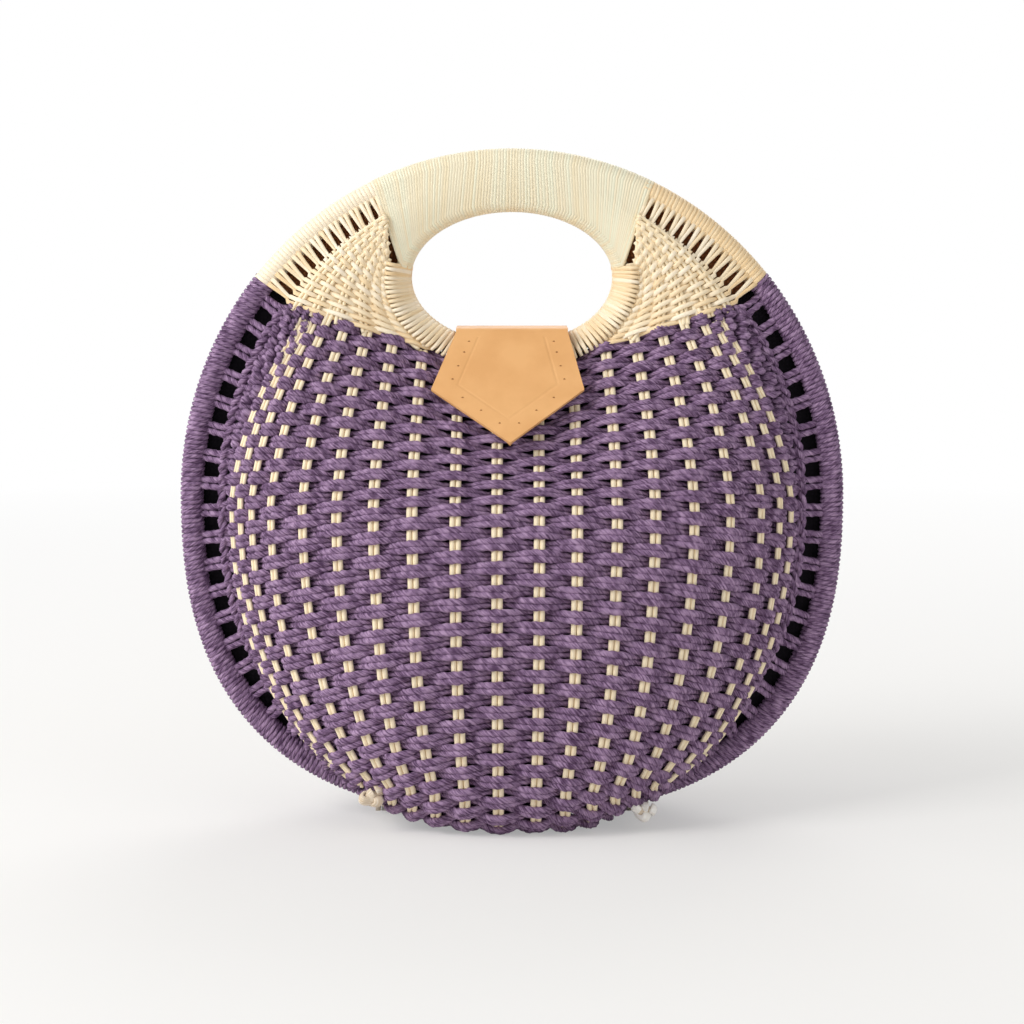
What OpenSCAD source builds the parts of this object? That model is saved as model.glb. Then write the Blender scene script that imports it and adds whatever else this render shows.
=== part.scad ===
// Round clamshell bag woven from paper cord over reed ribs, with an oval hand hole and a leather tab.
// Millimetres, +Z up, the front faces -Y, and the bag stands on z = 0.
// The back half is the front half mirrored, and a leather tab holds the two together.

/* [Outline] */
// Half the width, to the middle of the rim reed
rim_half_w = 144.8; // [135:0.1:155]
// Rise from the widest place to the middle of the rim reed at the top
rim_up = 151.8; // [145:0.1:158]
// Drop from the widest place to the middle of the rim reed at the bottom
rim_down = 140.8; // [134:0.1:148]
// Height of that lowest middle above the table
rim_lift = 6.2; // [5.2:0.1:7]
// Squareness of the outline's lower half, 2 is an ellipse
lower_power = 2.5; // [2.1:0.05:2.8]

/* [Belly] */
// How far each half bulges out of its foot line
belly = 49.3; // [42:0.5:58]
// Distance of the belly's foot line inside the rim reed's middle, at the sides
foot_in_side = 14.8; // [13:0.1:18]
// The same at the top, where the foot line lies behind the hand ring
foot_in_top = 9.8; // [8:0.1:12]
// Drop of the foot line below the rim reed's middle, at the bottom, where the table cuts it flat
foot_below = 10.2; // [8:0.1:13]
// Squareness of the foot line's lower half, 2 is an ellipse
foot_power = 2.3; // [2.1:0.05:2.5]
// Distance of the foot line from the parting plane
foot_y = 15.7; // [15.2:0.1:17]
// Reach of the belly's fade, in hand rings, from the ring outwards
fade_rings = 2.5; // [2:0.05:3]

/* [Reeds and cords] */
// Radius of the bent reed in the rim
rim_reed_r = 3.6; // [3:0.1:4]
// Thickness of the cord wound round the rim
rim_wrap_t = 1.4; // [1:0.1:1.8]
// Distance of the reeds' middle from the parting plane
reed_y = 6.5; // [6.4:0.1:7.5]
// Thickness of the woven wall
weave_t = 4; // [3:0.1:4.6]
// Number of rib pairs in each half
rib_count = 19; // [13:2:21]
// Width of a pair of rib reeds
rib_w = 5.6; // [4.5:0.1:6.5]
// Thickness of a rib reed
rib_t = 2.6; // [2:0.1:3]
// Thickness of the cotton lining
lining_t = 1; // [0.8:0.1:1.5]

/* [Hand hole] */
// Half the width of the opening
hole_half_w = 46; // [42:0.5:50]
// Half the height of the opening
hole_half_h = 30; // [27:0.5:32]
// Height of the grip, from the opening to the top of the rim
grip_h = 27.8; // [25:0.1:31]
// Radius of the bent reed round the opening
ring_reed_r = 3; // [2.5:0.1:3.4]
// Thickness of the reed wound round the ring
ring_wrap_t = 1.2; // [1:0.1:1.5]
// Thickness of the flat reed wound round the grip
grip_wrap_t = 1.2; // [1:0.1:1.5]

/* [Tab] */
// Width of the tab where it folds
tab_w = 50; // [44:0.5:56]
// Width of the tab at its corners
tab_corner_w = 66; // [60:0.5:72]
// Length of the leaf from the front fold to its tip
tab_leaf_len = 57; // [52:0.5:62]
// Length of the leaf from the front fold to its corners
tab_corner_len = 29; // [25:0.5:31]
// Thickness of the face leather
face_leather_t = 1.6; // [1.2:0.1:2]
// Thickness of the backing leather
back_leather_t = 1.2; // [1:0.1:1.6]
// Length of the leather sewn on behind, from the bend to its end
anchor_len = 42; // [38:0.5:46]

/* [Snap] */
// Radius of both halves of the magnetic snap
snap_r = 7; // [6:0.1:8]
// Thickness of the socket on the front
socket_t = 1.8; // [1.6:0.1:2.4]
// Thickness of the stud's plate on the tab
stud_t = 1.2; // [1:0.1:1.5]
// Radius of the stud's nose
nose_r = 2.5; // [2:0.1:3]
// Distance of the snap from the front fold, along the leaf
snap_at = 33; // [31:0.5:36]
// Radius of the leather patch that carries the socket
patch_r = 10; // [9:0.1:11]
// Thickness of that patch
patch_t = 1.2; // [1:0.1:1.5]

/* [Ties] */
// Distance of each reed tie inwards from the rim's widest place
tie_in = 88.3; // [79:0.1:90]
// Width of one turn of the tie's flat reed
tie_reed_w = 2.4; // [2:0.1:2.6]
// Thickness of the tie's flat reed
tie_reed_t = 0.8; // [0.7:0.1:1]
// Height of the line that the halves turn about
tie_axis_z = 1.3; // [1.3:0.1:1.5]

/* [Hidden] */
$fn = 48;

cord_purple = "#6e5878";
reed_cream = "#f7e7c0";
reed_grip = "#efe2c0";
leather_tan = "#e9b172";
cotton_dark = "#332a38";
snap_metal = "#c9c9c9";

// Clearances: between pieces that touch, behind the flat faces of the wall, behind those of the ribs, at
// the tab's bend, round the sloping rim inside a tie, and between the ties and the wall
clear = 0.2;
layer_clear = 1.35;
lining_clear = 0.9;
bend_clear = 0.35;
tie_gap = 0.8;
tie_room = 3.7;
foot_lead = 0.15;
overrun = 1;

// Angles round the outline, from +X over the top: where the natural reed and the grip begin
shoulder_from = 40;
grip_from = 65;
// Angles round the hand ring where the purple body, the shoulders and the grip begin
ring_body_from = 310;
ring_grip_from = 9;
// Side wall and base of the belly: how square each one's section is
side_power = 2.5;
side_bluntness = 0.8;
base_power = 8;
base_bluntness = 0.35;
fade_power = 1.6;
// Distance of the outermost rib inside the foot line, and what the shoulders add to it
rib_inset = 3;
rib_inset_up = 11;
// Height over the foot line's lowest place below which the ribs no longer draw together, and the share
// of the foot line where they end
rib_splay = 24;
rib_end_share = 0.97;
// Depth below the opening's middle down to which the shoulders draw the ribs in
shoulder_drop = 26;
// Share of the half width inside which a rib ends on the hand ring, and where the others end beside it
ring_rib_share = 0.3;
rib_top_share = 0.55;

rim_r = rim_reed_r + rim_wrap_t;
ring_r = ring_reed_r + ring_wrap_t;
waist_z = rim_down + rim_lift;
foot_half_w = rim_half_w - foot_in_side;
top_foot_up = rim_up - foot_in_top;
foot_down = rim_down + foot_below;
hole_z = waist_z + rim_up + rim_r - grip_h - hole_half_h;
rib_splay_z = waist_z - foot_down + rib_splay;
shoulder_z = hole_z - shoulder_drop;
tie_x = rim_half_w - tie_in;
ring_half_w = hole_half_w + ring_r;
ring_half_h = hole_half_h + ring_r;
ring_out_w = ring_half_w + ring_r;
ring_out_h = ring_half_h + ring_r;

// Steps along and round the solids
side_steps = 6;
wall_steps = 44;
belly_steps = 17;
rib_steps = 14;
rib_bunching = 1.8;
rim_steps = 72;
rim_wrap_steps = 52;
shoulder_steps = 5;
ring_steps = 40;
ring_wrap_steps = 22;
grip_steps = 18;

function clamp01(v) = min(1, max(0, v));
function mix(p, q, s) = p + (q - p) * s;
function signed_pow(v, e) = sign(v) * pow(abs(v), e);
function unit(v) = v / norm(v);

// A point of the rim's middle line at angle t, moved outwards by off
function rim_xz(t, off = 0) =
    let (e = sin(t) < 0 ? 2 / lower_power : 1, rise = (sin(t) < 0 ? rim_down : rim_up) + off)
    [(rim_half_w + off) * signed_pow(cos(t), e), waist_z + rise * signed_pow(sin(t), e)];

// A point of the hand ring's middle line at angle t, moved outwards by off
function ring_xz(t, off = 0) =
    [(ring_half_w + off) * cos(t), hole_z + (ring_half_h + off) * sin(t)];

// How far a place is from the belly's middle, 1 on the foot line
function foot_share(x, z) =
    z >= waist_z
        ? norm([x / foot_half_w, (z - waist_z) / top_foot_up])
        : pow(pow(abs(x) / foot_half_w, foot_power) + pow((waist_z - z) / foot_down, foot_power),
              1 / foot_power);

// How far below the middle a direction points, 0 sideways and 1 straight down
function down_share(x, z) =
    z >= waist_z ? 0 : pow((waist_z - z) / (foot_down * max(foot_share(x, z), 0.01)), 4);

function ring_share(x, z) = norm([x / ring_out_w, (z - hole_z) / ring_out_h]);

// The fade of the belly towards the hand ring
function fade(x, z) = 1 - pow(1 - clamp01((ring_share(x, z) - 1) / fade_rings), fade_power);

// Depth of the woven wall's face in front of the parting plane
function depth(x, z) =
    let (
        low = down_share(x, z),
        power = mix(side_power, base_power, low),
        blunt = mix(side_bluntness, base_bluntness, low),
        rise = pow(max(0, 1 - pow(min(1, foot_share(x, z)), power)), blunt)
    ) foot_y + belly * rise * fade(x, z);

// The wall's face over a place, pressed flat where the table cuts it
function wall_point(x, z) = [x, -depth(x, z), max(z, 0)];

// The wall's outward normal over a place, from points a small step apart
probe = 0.5;
function wall_normal(x, z) =
    z < 0 ? [0, 0, -1] :
    unit([
        (depth(x - probe, z) - depth(x + probe, z)) / (probe + probe), -1,
        (depth(x, z - probe) - depth(x, z + probe)) / (probe + probe)
    ]);

// Half the width between the outermost ribs at height z
function rib_half_at(z) =
    z >= waist_z
        ? rim_half_w * sqrt(1 - pow((z - waist_z) / rim_up, 2)) - (rim_half_w - foot_half_w) - rib_inset
            - rib_inset_up * clamp01((z - waist_z) / (shoulder_z - waist_z))
        : foot_half_w * pow(1 - pow((waist_z - max(z, rib_splay_z)) / foot_down, foot_power), 1 / foot_power)
            - rib_inset;

// Solids made of rings of points. Each ring goes round once, and the rings follow each other.
function ring_faces(count, size, closed) = [
    for (i = [0 : count - (closed ? 1 : 2)]) for (j = [0 : size - 1])
        let (
            a = i * size + j, b = i * size + (j + 1) % size,
            c = ((i + 1) % count) * size + j, d = ((i + 1) % count) * size + (j + 1) % size
        ) each [[a, b, c], [b, d, c]]
];
// End caps of a ring whose points lie in pairs, the first with the last
function cap_faces(start, size, flip) = [
    for (j = [0 : size / 2 - 2])
        let (a = start + j, b = start + j + 1, c = start + size - 2 - j, d = start + size - 1 - j)
        each (flip ? [[a, d, c], [a, c, b]] : [[a, b, c], [a, c, d]])
];
module skin(rings, closed = false) {
    count = len(rings);
    size = len(rings[0]);
    caps = closed ? [] : concat(cap_faces(0, size, true), cap_faces((count - 1) * size, size, false));
    polyhedron(points = [for (ring = rings) each ring],
               faces = concat(ring_faces(count, size, closed), caps));
}
// A tube with a bore: the outer rings, then the inner ones
module sleeve(outer, inner, closed = false) {
    count = len(outer);
    size = len(outer[0]);
    base = count * size;
    last = (count - 1) * size;
    inside = [for (f = ring_faces(count, size, closed)) [f[2] + base, f[1] + base, f[0] + base]];
    ends = closed ? [] : [
        for (j = [0 : size - 1]) let (k = (j + 1) % size) each [
            [j, base + j, base + k], [j, base + k, k],
            [last + j, last + base + k, last + base + j], [last + j, last + k, last + base + k]
        ]
    ];
    polyhedron(points = concat([for (ring = outer) each ring], [for (ring = inner) each ring]),
               faces = concat(ring_faces(count, size, closed), inside, ends));
}

// Cross-sections: a many-sided circle about a line in the plane of the reeds
function rim_section(t, r) = [
    for (k = [0 : side_steps - 1])
        let (a = -(k + 1 / 2) * 360 / side_steps, p = rim_xz(t, r * cos(a))) [p[0], -reed_y + r * sin(a), p[1]]
];
function ring_section(t, r) = [
    for (k = [0 : side_steps - 1])
        let (a = -(k + 1 / 2) * 360 / side_steps, p = ring_xz(t, r * cos(a))) [p[0], -reed_y + r * sin(a), p[1]]
];

function steps(from, to, count) = [for (i = [0 : count]) mix(from, to, i / count)];

module rim_sleeve(from, to, count) {
    sleeve([for (t = steps(from, to, count)) rim_section(t, rim_r)],
           [for (t = steps(from, to, count)) rim_section(t, rim_reed_r + clear)]);
}

module rim_hoop() {
    skin([for (i = [0 : rim_steps - 1]) rim_section(i * 360 / rim_steps, rim_reed_r)], true);
}

// The purple cord wound round the rim, from one shoulder round the bottom to the other
module rim_wrap() {
    rim_sleeve(180 - shoulder_from, 360 + shoulder_from, rim_wrap_steps);
}

// The natural reed wound round the rim at both shoulders
module shoulder_rim_wraps() {
    gap = asin(clear / rim_up);
    for (flip = [0, 1]) mirror([flip, 0, 0])
        rim_sleeve(shoulder_from + gap, grip_from - gap, shoulder_steps);
}

module hand_ring() {
    skin([for (i = [0 : ring_steps - 1]) ring_section(i * 360 / ring_steps, ring_reed_r)], true);
}

// The reed wound round the lower part of the hand ring
module ring_wrap() {
    gap = asin(clear / ring_half_h);
    arc = steps(180 - ring_grip_from + gap, 360 + ring_grip_from - gap, ring_wrap_steps);
    sleeve([for (t = arc) ring_section(t, ring_r)],
           [for (t = arc) ring_section(t, ring_reed_r + clear)]);
}

// One cross-section of the grip: round the outer half of the rim reed and the inner half of the ring reed
function grip_section(s, more) =
    let (
        rim_t = mix(grip_from, 180 - grip_from, s),
        ring_t = mix(ring_grip_from, 180 - ring_grip_from, s),
        rim_end = rim_reed_r + clear + more,
        ring_end = ring_reed_r + clear + more
    ) [
        for (a = [90, 30, -30, -90]) let (p = rim_xz(rim_t, rim_end * cos(a)))
            [p[0], -reed_y + rim_end * sin(a), p[1]],
        for (a = [-90, -150, -210, -270]) let (p = ring_xz(ring_t, ring_end * cos(a)))
            [p[0], -reed_y + ring_end * sin(a), p[1]]
    ];

// The flat reed wound round both hoops between the hand and the rim
module grip_wrap() {
    stations = steps(0, 1, grip_steps);
    sleeve([for (s = stations) grip_section(s, grip_wrap_t)], [for (s = stations) grip_section(s, 0)]);
}

// Where the foot line lies in the direction of the rim at angle t
function foot_xz(t) =
    let (toward = rim_xz(t) - [0, waist_z])
    [0, waist_z] + toward / foot_share(toward[0], toward[1] + waist_z);
// The wall's first place, against the rim at the sides and in front of it at the bottom
function rim_flank(t) =
    let (
        low = pow(clamp01(-sin(t)), 1.2),
        off = rim_r + clear + (tie_reed_t + tie_room) * low,
        beside = rim_xz(t, -off),
        ahead = foot_xz(t)
    ) mix([beside[0], -reed_y - weave_t / 2, beside[1]], [ahead[0], foot_lead - foot_y, max(ahead[1], 0)], low);
// A wall column at rim angle t that runs to ring angle r, as pairs of a place and a normal
function wall_column(t, r, count) =
    let (
        foot = foot_xz(t),
        goal = ring_xz(r, ring_r + clear + weave_t / 4),
        low = down_share(foot[0], foot[1])
    ) [
        [rim_flank(t), [0, -cos(90 * low), -sin(90 * low)]],
        for (i = [0 : count])
            let (
                s = i / count,
                round_off = i == count ? 0 : pow(cos(90 * s), 2 / mix(side_power, base_power, low)),
                p = mix(goal, foot, mix(round_off, 1 - s, pow(s, 3)))
            ) [wall_point(p[0], p[1]), wall_normal(p[0], p[1])]
    ];
// A closed section through the wall: down its outer face and back up the inner one
function wall_section(column, from, outer, inner) =
    let (last = len(column) - 1)
    [
        for (i = [from : last]) column[i][0] - column[i][1] * outer,
        for (i = [last : -1 : from]) column[i][0] - column[i][1] * inner
    ];
module wall(f_from, f_to, r_from, r_to, count, from, outer, inner, rows = belly_steps) {
    skin([for (i = [0 : count]) wall_section(
        wall_column(mix(f_from, f_to, i / count), mix(r_from, r_to, i / count), rows), from, outer, inner)]);
}

// The purple woven wall
module weave() {
    wall(180 - shoulder_from, 360 + shoulder_from, 540 - ring_body_from, ring_body_from, wall_steps,
         0, 0, weave_t);
}

// The natural woven wall between the grip, the ring and the rim, on the left or the right
module shoulder_weave(flip) {
    gap = 0.6;
    mirror([flip, 0, 0])
        wall(shoulder_from + gap, grip_from - gap, ring_body_from + gap, 360 + ring_grip_from - gap,
             6, 0, 0, weave_t, 6);
}

// The cotton lining behind the ribs, which starts where the belly is deep enough
module lining() {
    back = weave_t + layer_clear + rib_t + lining_clear;
    inset = 8;
    wall(180 - shoulder_from + inset, 360 + shoulder_from - inset, 540 - ring_body_from + inset,
         ring_body_from - inset, 20, 3, back, back + lining_t, 9);
}

// A reed rib of the wall: share runs from -1 at the left to 1 at the right
function rib_x(share, z) =
    let (
        full = rib_half_at(z),
        ring = z > hole_z - ring_out_h
            ? ring_out_w * sqrt(max(0, 1 - pow((z - hole_z) / ring_out_h, 2))) : 0,
        inner = max(ring_rib_share * full, ring)
    )
    abs(share) <= ring_rib_share
        ? share * full
        : sign(share) * mix(inner, full, (abs(share) - ring_rib_share) / (1 - ring_rib_share));
function rib_top(share) =
    abs(share) <= ring_rib_share
        ? hole_z - ring_out_h * sqrt(1 - pow(share * rib_half_at(hole_z - ring_out_h) / ring_out_w, 2)) - rib_w
        : hole_z - ring_out_h * rib_top_share;
function rib_bottom(share) =
    waist_z - foot_down
        * pow(rib_end_share - pow(abs(rib_x(share, rib_splay_z)) / foot_half_w, foot_power), 1 / foot_power);
function rib_place(share, z) = wall_point(rib_x(share, z), z);
module rib(share) {
    back = weave_t + layer_clear;
    low = rib_bottom(share);
    skin([for (s = steps(0, 1, rib_steps))
        let (z = mix(low, rib_top(share), pow(s, rib_bunching)),
             p = rib_place(share, z), n = wall_normal(p[0], z),
             along = rib_place(share, z + probe) - rib_place(share, z - probe),
             side = unit(cross(along, n)) * rib_w / 2)
        [p - n * back + side, p - n * back - side,
         p - n * (back + rib_t) - side, p - n * (back + rib_t) + side]
    ]);
}
module ribs() {
    half = (rib_count - 1) / 2;
    for (i = [-half : half]) rib(i / half);
}

// Height of the rim reed's middle at a place along the bottom
function rim_z(x) = waist_z - rim_down * pow(1 - pow(x / rim_half_w, lower_power), 1 / lower_power);
// One lobe of the figure-eight lashing: a flat reed round the rim and round the turning line
module tie_lobe(x) {
    inner_r = rim_r + tie_gap;
    outer_r = inner_r + tie_reed_t;
    eye_r = tie_axis_z - clear / 2;
    rise = rim_z(x) - tie_axis_z;
    reach = norm([reed_y, rise]);
    lean = atan2(reed_y, rise);
    rotate([90, 0, 90]) translate([0, tie_axis_z, x - tie_reed_w / 2]) rotate(lean) difference() {
        union() {
            cylinder(r = eye_r, h = tie_reed_w);
            translate([0, reach, 0]) cylinder(r = outer_r, h = tie_reed_w);
            translate([-eye_r, 0, 0]) cube([2 * eye_r, reach - inner_r - tie_reed_t / 2, tie_reed_w]);
        }
        translate([0, reach, -overrun]) cylinder(r = inner_r, h = tie_reed_w + 2 * overrun);
    }
}
module tie_turns(places) {
    pitch = tie_reed_w + clear;
    for (flip = [0, 1]) mirror([flip, 0, 0]) for (k = places) tie_lobe(tie_x + k * pitch);
}

// The leather tab in section: a bridge over both rings, a fold in front and the leaf. The bridge turns
// about the middle of its own thickness behind the rings.
tab_t = face_leather_t + back_leather_t;
bridge_z = hole_z - hole_half_h * sqrt(1 - pow(tab_w / 2 / hole_half_w, 2)) + clear + bend_clear;
bend_z = bridge_z + tab_t / 2;
fold_y = reed_y + ring_r + back_leather_t;
bend_reach = 1.8;
bend_y = fold_y + bend_reach;
fold_r = 1.5;
fold_steps = 6;
backing_inset = 0.8;
// How far the round bend stands proud of the leather's faces
bend_bead = 0.05;
// The snap's stack from the woven wall to the back of the leaf
patch_lift = 0.75;
snap_gap = 0.3;
nose_len = socket_t * 0.7;
snap_stack = patch_lift + patch_t + clear + socket_t + snap_gap + stud_t + clear;
// The leaf's slope from the vertical, so that it passes over the snap at its place
slope_guess = 37;
snap_z = bridge_z - snap_at * cos(slope_guess);
snap_y = depth(0, snap_z) + snap_stack / cos(slope_guess);
fold_to_snap = [snap_y - fold_y, bridge_z - fold_r - snap_z];
leaf_slope = atan2(fold_to_snap[0], fold_to_snap[1]) - asin(fold_r / norm(fold_to_snap));
// The anchor's slope, so that its end lies on the woven wall behind
anchor_lift = 1.5;
anchor_z = bend_z - anchor_len * cos(slope_guess);
anchor_y = depth(tab_w / 2, anchor_z) + anchor_lift + tab_t / 2 / cos(slope_guess);
anchor_slope = atan2(anchor_y - bend_y, bend_z - anchor_z);
stitch_r = 0.4;
stitch_len = 3;
stitch_inset = 5;

// A frame on the leaf's inner face: the origin at the fold, +Y up to the fold and +Z outwards
module on_leaf(along = 0, lift = 0) {
    translate([0, -fold_y - fold_r * cos(leaf_slope), bridge_z - fold_r + fold_r * sin(leaf_slope)])
        rotate([90 - leaf_slope, 0, 0]) translate([0, -along, lift]) children();
}
module leaf_outline(inset, up) {
    polygon([
        [inset - tab_w / 2, up], [tab_w / 2 - inset, up], [tab_w / 2 - inset, -fold_r],
        [tab_corner_w / 2 - inset, -tab_corner_len], [0, inset - tab_leaf_len],
        [inset - tab_corner_w / 2, -tab_corner_len], [inset - tab_w / 2, -fold_r]
    ]);
}
// A place in the tab's section, seen from its left edge: at an angle round the fold, over its inner face
function fold_place(turn, over) =
    [-fold_y - (fold_r + over) * sin(turn), bridge_z - fold_r + (fold_r + over) * cos(turn)];
// A layer of the folded leather between two heights over its inner face, up to start_y behind
module tab_layer(low, high, start_y, inset) {
    turn = 90 - leaf_slope;
    down = [-sin(leaf_slope), -cos(leaf_slope)] * (tab_leaf_len + overrun);
    intersection() {
        translate([-tab_corner_w / 2, 0, 0]) rotate([90, 0, 90]) linear_extrude(tab_corner_w) polygon([
            [start_y, bridge_z + low], for (a = steps(0, turn, fold_steps)) fold_place(a, low),
            fold_place(turn, low) + down, fold_place(turn, high) + down,
            for (a = steps(turn, 0, fold_steps)) fold_place(a, high), [start_y, bridge_z + high]
        ]);
        on_leaf(0, -tab_leaf_len) linear_extrude(2 * tab_leaf_len) leaf_outline(inset, tab_leaf_len);
    }
}
module tab_leaf() {
    tab_layer(back_leather_t, tab_t, bend_y, 0);
    translate([backing_inset - tab_w / 2, bend_y, bend_z]) rotate([0, 90, 0])
        cylinder(r = tab_t / 2 + bend_bead, h = tab_w - 2 * backing_inset);
}
module tab_backing() {
    tab_layer(0, back_leather_t - clear / 4, bend_y - tab_t, backing_inset);
}
// A row of stitches that lies on a face, from one place to another
module stitch_row(from, to, count) {
    turn = atan2(to[1] - from[1], to[0] - from[0]);
    for (i = [0 : count - 1]) let (p = mix(from, to, (i + 1 / 2) / count))
        translate([p[0], p[1], stitch_r]) rotate(turn) translate([-stitch_len / 2, 0, 0])
            rotate([0, 90, 0]) cylinder(r = stitch_r, h = stitch_len);
}
module tab_stitches() {
    corner = [tab_corner_w / 2 - stitch_inset - stitch_r, -tab_corner_len];
    top = [tab_w / 2 - stitch_inset, -stitch_inset];
    tip = [stitch_inset / 2, 2 * stitch_inset - tab_leaf_len - stitch_r];
    on_leaf(0, tab_t) for (flip = [0, 1]) mirror([flip, 0, 0]) {
        stitch_row(top, corner, 4);
        stitch_row(corner, tip, 5);
    }
}

// The strip of the same leather sewn on behind
module on_anchor() {
    mirror([0, 1, 0]) translate([0, -bend_y, bend_z]) rotate([90 - anchor_slope, 0, 0]) children();
}
module tab_anchor() {
    start = tab_t / 2 + bend_clear;
    on_anchor() translate([-tab_w / 2, -anchor_len, -tab_t / 2]) cube([tab_w, anchor_len - start, tab_t]);
}
module anchor_stitches() {
    side = tab_w / 2 - stitch_inset;
    end = stitch_inset - anchor_len;
    on_anchor() translate([0, 0, tab_t / 2]) {
        stitch_row([-side, end], [side, end], 7);
        stitch_row([-side, end + stitch_inset], [side, end + stitch_inset], 7);
    }
}

// The magnetic snap: its stud on the leaf's back, and its socket on a patch on the front wall
socket_lift = -clear - stud_t - snap_gap - socket_t;
patch_face = socket_lift - clear;
module snap_stud() {
    on_leaf(snap_at, -clear - stud_t) {
        cylinder(r = snap_r, h = stud_t);
        translate([0, 0, -nose_len]) cylinder(r = nose_r, h = nose_len + stud_t / 2);
    }
}
module snap_socket() {
    on_leaf(snap_at, socket_lift) difference() {
        cylinder(r = snap_r, h = socket_t);
        translate([0, 0, -overrun]) cylinder(r = nose_r + snap_gap, h = socket_t + 2 * overrun);
    }
}
module snap_patch() {
    on_leaf(snap_at, patch_face - patch_t) cylinder(r = patch_r, h = patch_t);
}
module patch_stitches() {
    count = 12;
    on_leaf(snap_at, patch_face) for (i = [0 : count - 1]) rotate(i * 360 / count)
        translate([patch_r - (patch_r - snap_r) / 2, -stitch_len / 3, stitch_r]) rotate([-90, 0, 0])
            cylinder(r = stitch_r, h = stitch_len * 2 / 3);
}

// The knots of the ties, under the edge of the front wall: the reed's end drawn into three lobes
module tie_knots() {
    lobe_r = tie_reed_w;
    reach = rim_r + tie_gap + tie_reed_t + clear + lobe_r;
    below = 60;
    for (flip = [0, 1]) mirror([flip, 0, 0])
        translate([tie_x, -reed_y - reach * cos(below), rim_z(tie_x) - reach * sin(below)]) hull() {
            sphere(r = lobe_r, $fn = 16);
            for (side = [-1, 1]) translate([side * lobe_r * 1.4, 0, -lobe_r / 2])
                sphere(r = lobe_r * 0.8, $fn = 16);
        }
}

module behind() {
    mirror([0, 1, 0]) children();
}

color(reed_cream) behind() rim_hoop();  // back_rim_hoop
color(cord_purple) behind() rim_wrap();  // back_rim_wrap
color(reed_cream) behind() shoulder_rim_wraps();  // back_shoulder_rim_wraps
color(reed_cream) behind() hand_ring();  // back_hand_ring
color(reed_cream) behind() ring_wrap();  // back_ring_wrap
color(reed_grip) behind() grip_wrap();  // back_grip_wrap
color(reed_cream) behind() ribs();  // back_ribs
color(cord_purple) behind() weave();  // back_weave
color(reed_cream) behind() shoulder_weave(1);  // back_shoulder_weave_left
color(reed_cream) behind() shoulder_weave(0);  // back_shoulder_weave_right
color(cotton_dark) behind() lining();  // back_lining
color(reed_cream) behind() tie_turns([-2, 0, 2]);  // back_tie_turns
color(reed_cream) rim_hoop();  // front_rim_hoop
color(cord_purple) rim_wrap();  // front_rim_wrap
color(reed_cream) shoulder_rim_wraps();  // front_shoulder_rim_wraps
color(reed_cream) hand_ring();  // front_hand_ring
color(reed_cream) ring_wrap();  // front_ring_wrap
color(reed_grip) grip_wrap();  // front_grip_wrap
color(reed_cream) ribs();  // front_ribs
color(cord_purple) weave();  // front_weave
color(reed_cream) shoulder_weave(1);  // front_shoulder_weave_left
color(reed_cream) shoulder_weave(0);  // front_shoulder_weave_right
color(cotton_dark) lining();  // front_lining
color(reed_cream) tie_turns([-1, 1]);  // front_tie_turns
color(reed_cream) tie_knots();
color(leather_tan) tab_anchor();
color(reed_cream) anchor_stitches();
color(leather_tan) tab_leaf();
color(leather_tan) tab_backing();
color(reed_cream) tab_stitches();
color(snap_metal) snap_stud();
color(snap_metal) snap_socket();
color(leather_tan) snap_patch();
color(reed_cream) patch_stitches();
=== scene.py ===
import math
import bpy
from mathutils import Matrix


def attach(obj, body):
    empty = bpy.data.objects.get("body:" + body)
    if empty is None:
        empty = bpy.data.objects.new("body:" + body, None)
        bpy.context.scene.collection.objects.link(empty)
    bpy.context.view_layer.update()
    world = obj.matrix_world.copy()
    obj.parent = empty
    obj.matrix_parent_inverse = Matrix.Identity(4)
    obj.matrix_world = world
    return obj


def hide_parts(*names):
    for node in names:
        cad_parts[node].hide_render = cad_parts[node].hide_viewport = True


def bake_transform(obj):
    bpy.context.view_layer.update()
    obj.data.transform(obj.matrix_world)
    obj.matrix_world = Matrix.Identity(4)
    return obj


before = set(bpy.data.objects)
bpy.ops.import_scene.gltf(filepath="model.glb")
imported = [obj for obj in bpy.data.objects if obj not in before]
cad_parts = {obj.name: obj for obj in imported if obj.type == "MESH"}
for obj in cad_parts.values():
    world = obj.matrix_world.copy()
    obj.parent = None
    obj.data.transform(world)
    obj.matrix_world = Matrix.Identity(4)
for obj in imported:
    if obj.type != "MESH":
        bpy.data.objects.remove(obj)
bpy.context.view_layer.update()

from types import SimpleNamespace

import bmesh
import bpy
import numpy as np
from bpy.props import FloatProperty, FloatVectorProperty, IntProperty, PointerProperty
from mathutils import Matrix, Vector

bl_info = {
    "name": "Woven circle bag",
    "version": (1, 0, 0),
    "blender": (4, 5, 0),
    "location": "3D View > Sidebar > Circle bag",
    "description": "Dresses a round clamshell bag in twisted paper cord, reed and leather",
    "category": "Object",
}

MM = 0.001

# All in millimetres and degrees, where no comment or math.radians says otherwise. The bag stands on Z 0 and parts
# on Y 0.
# Rim: half its width, its height over and under the waist, the waist's height, and the wound reed's radius
RIM_HALF_W, RIM_UP, RIM_DOWN, WAIST_Z, RIM_R = 144.8, 151.8, 140.8, 147.0, 5.0
# Each half's reeds lie this far from the parting plane. The power squares the outline below the waist.
REED_Y, LOWER_POWER = 6.5, 2.5
# The belly's foot line, inside the rim: its size, its power below the waist, and its depth
FOOT_HALF_W, TOP_FOOT_UP, FOOT_DOWN, FOOT_POWER, FOOT_Y = 130.0, 142.0, 151.0, 2.3, 15.7
# The belly: its rise, how it fades towards the ring, and the curve of its sides and of its base
BELLY, FADE_RINGS, FADE_POWER = 49.3, 2.5, 1.6
SIDE_POWER, SIDE_BLUNTNESS, BASE_POWER, BASE_BLUNTNESS = 2.5, 0.8, 8.0, 0.35
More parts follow.
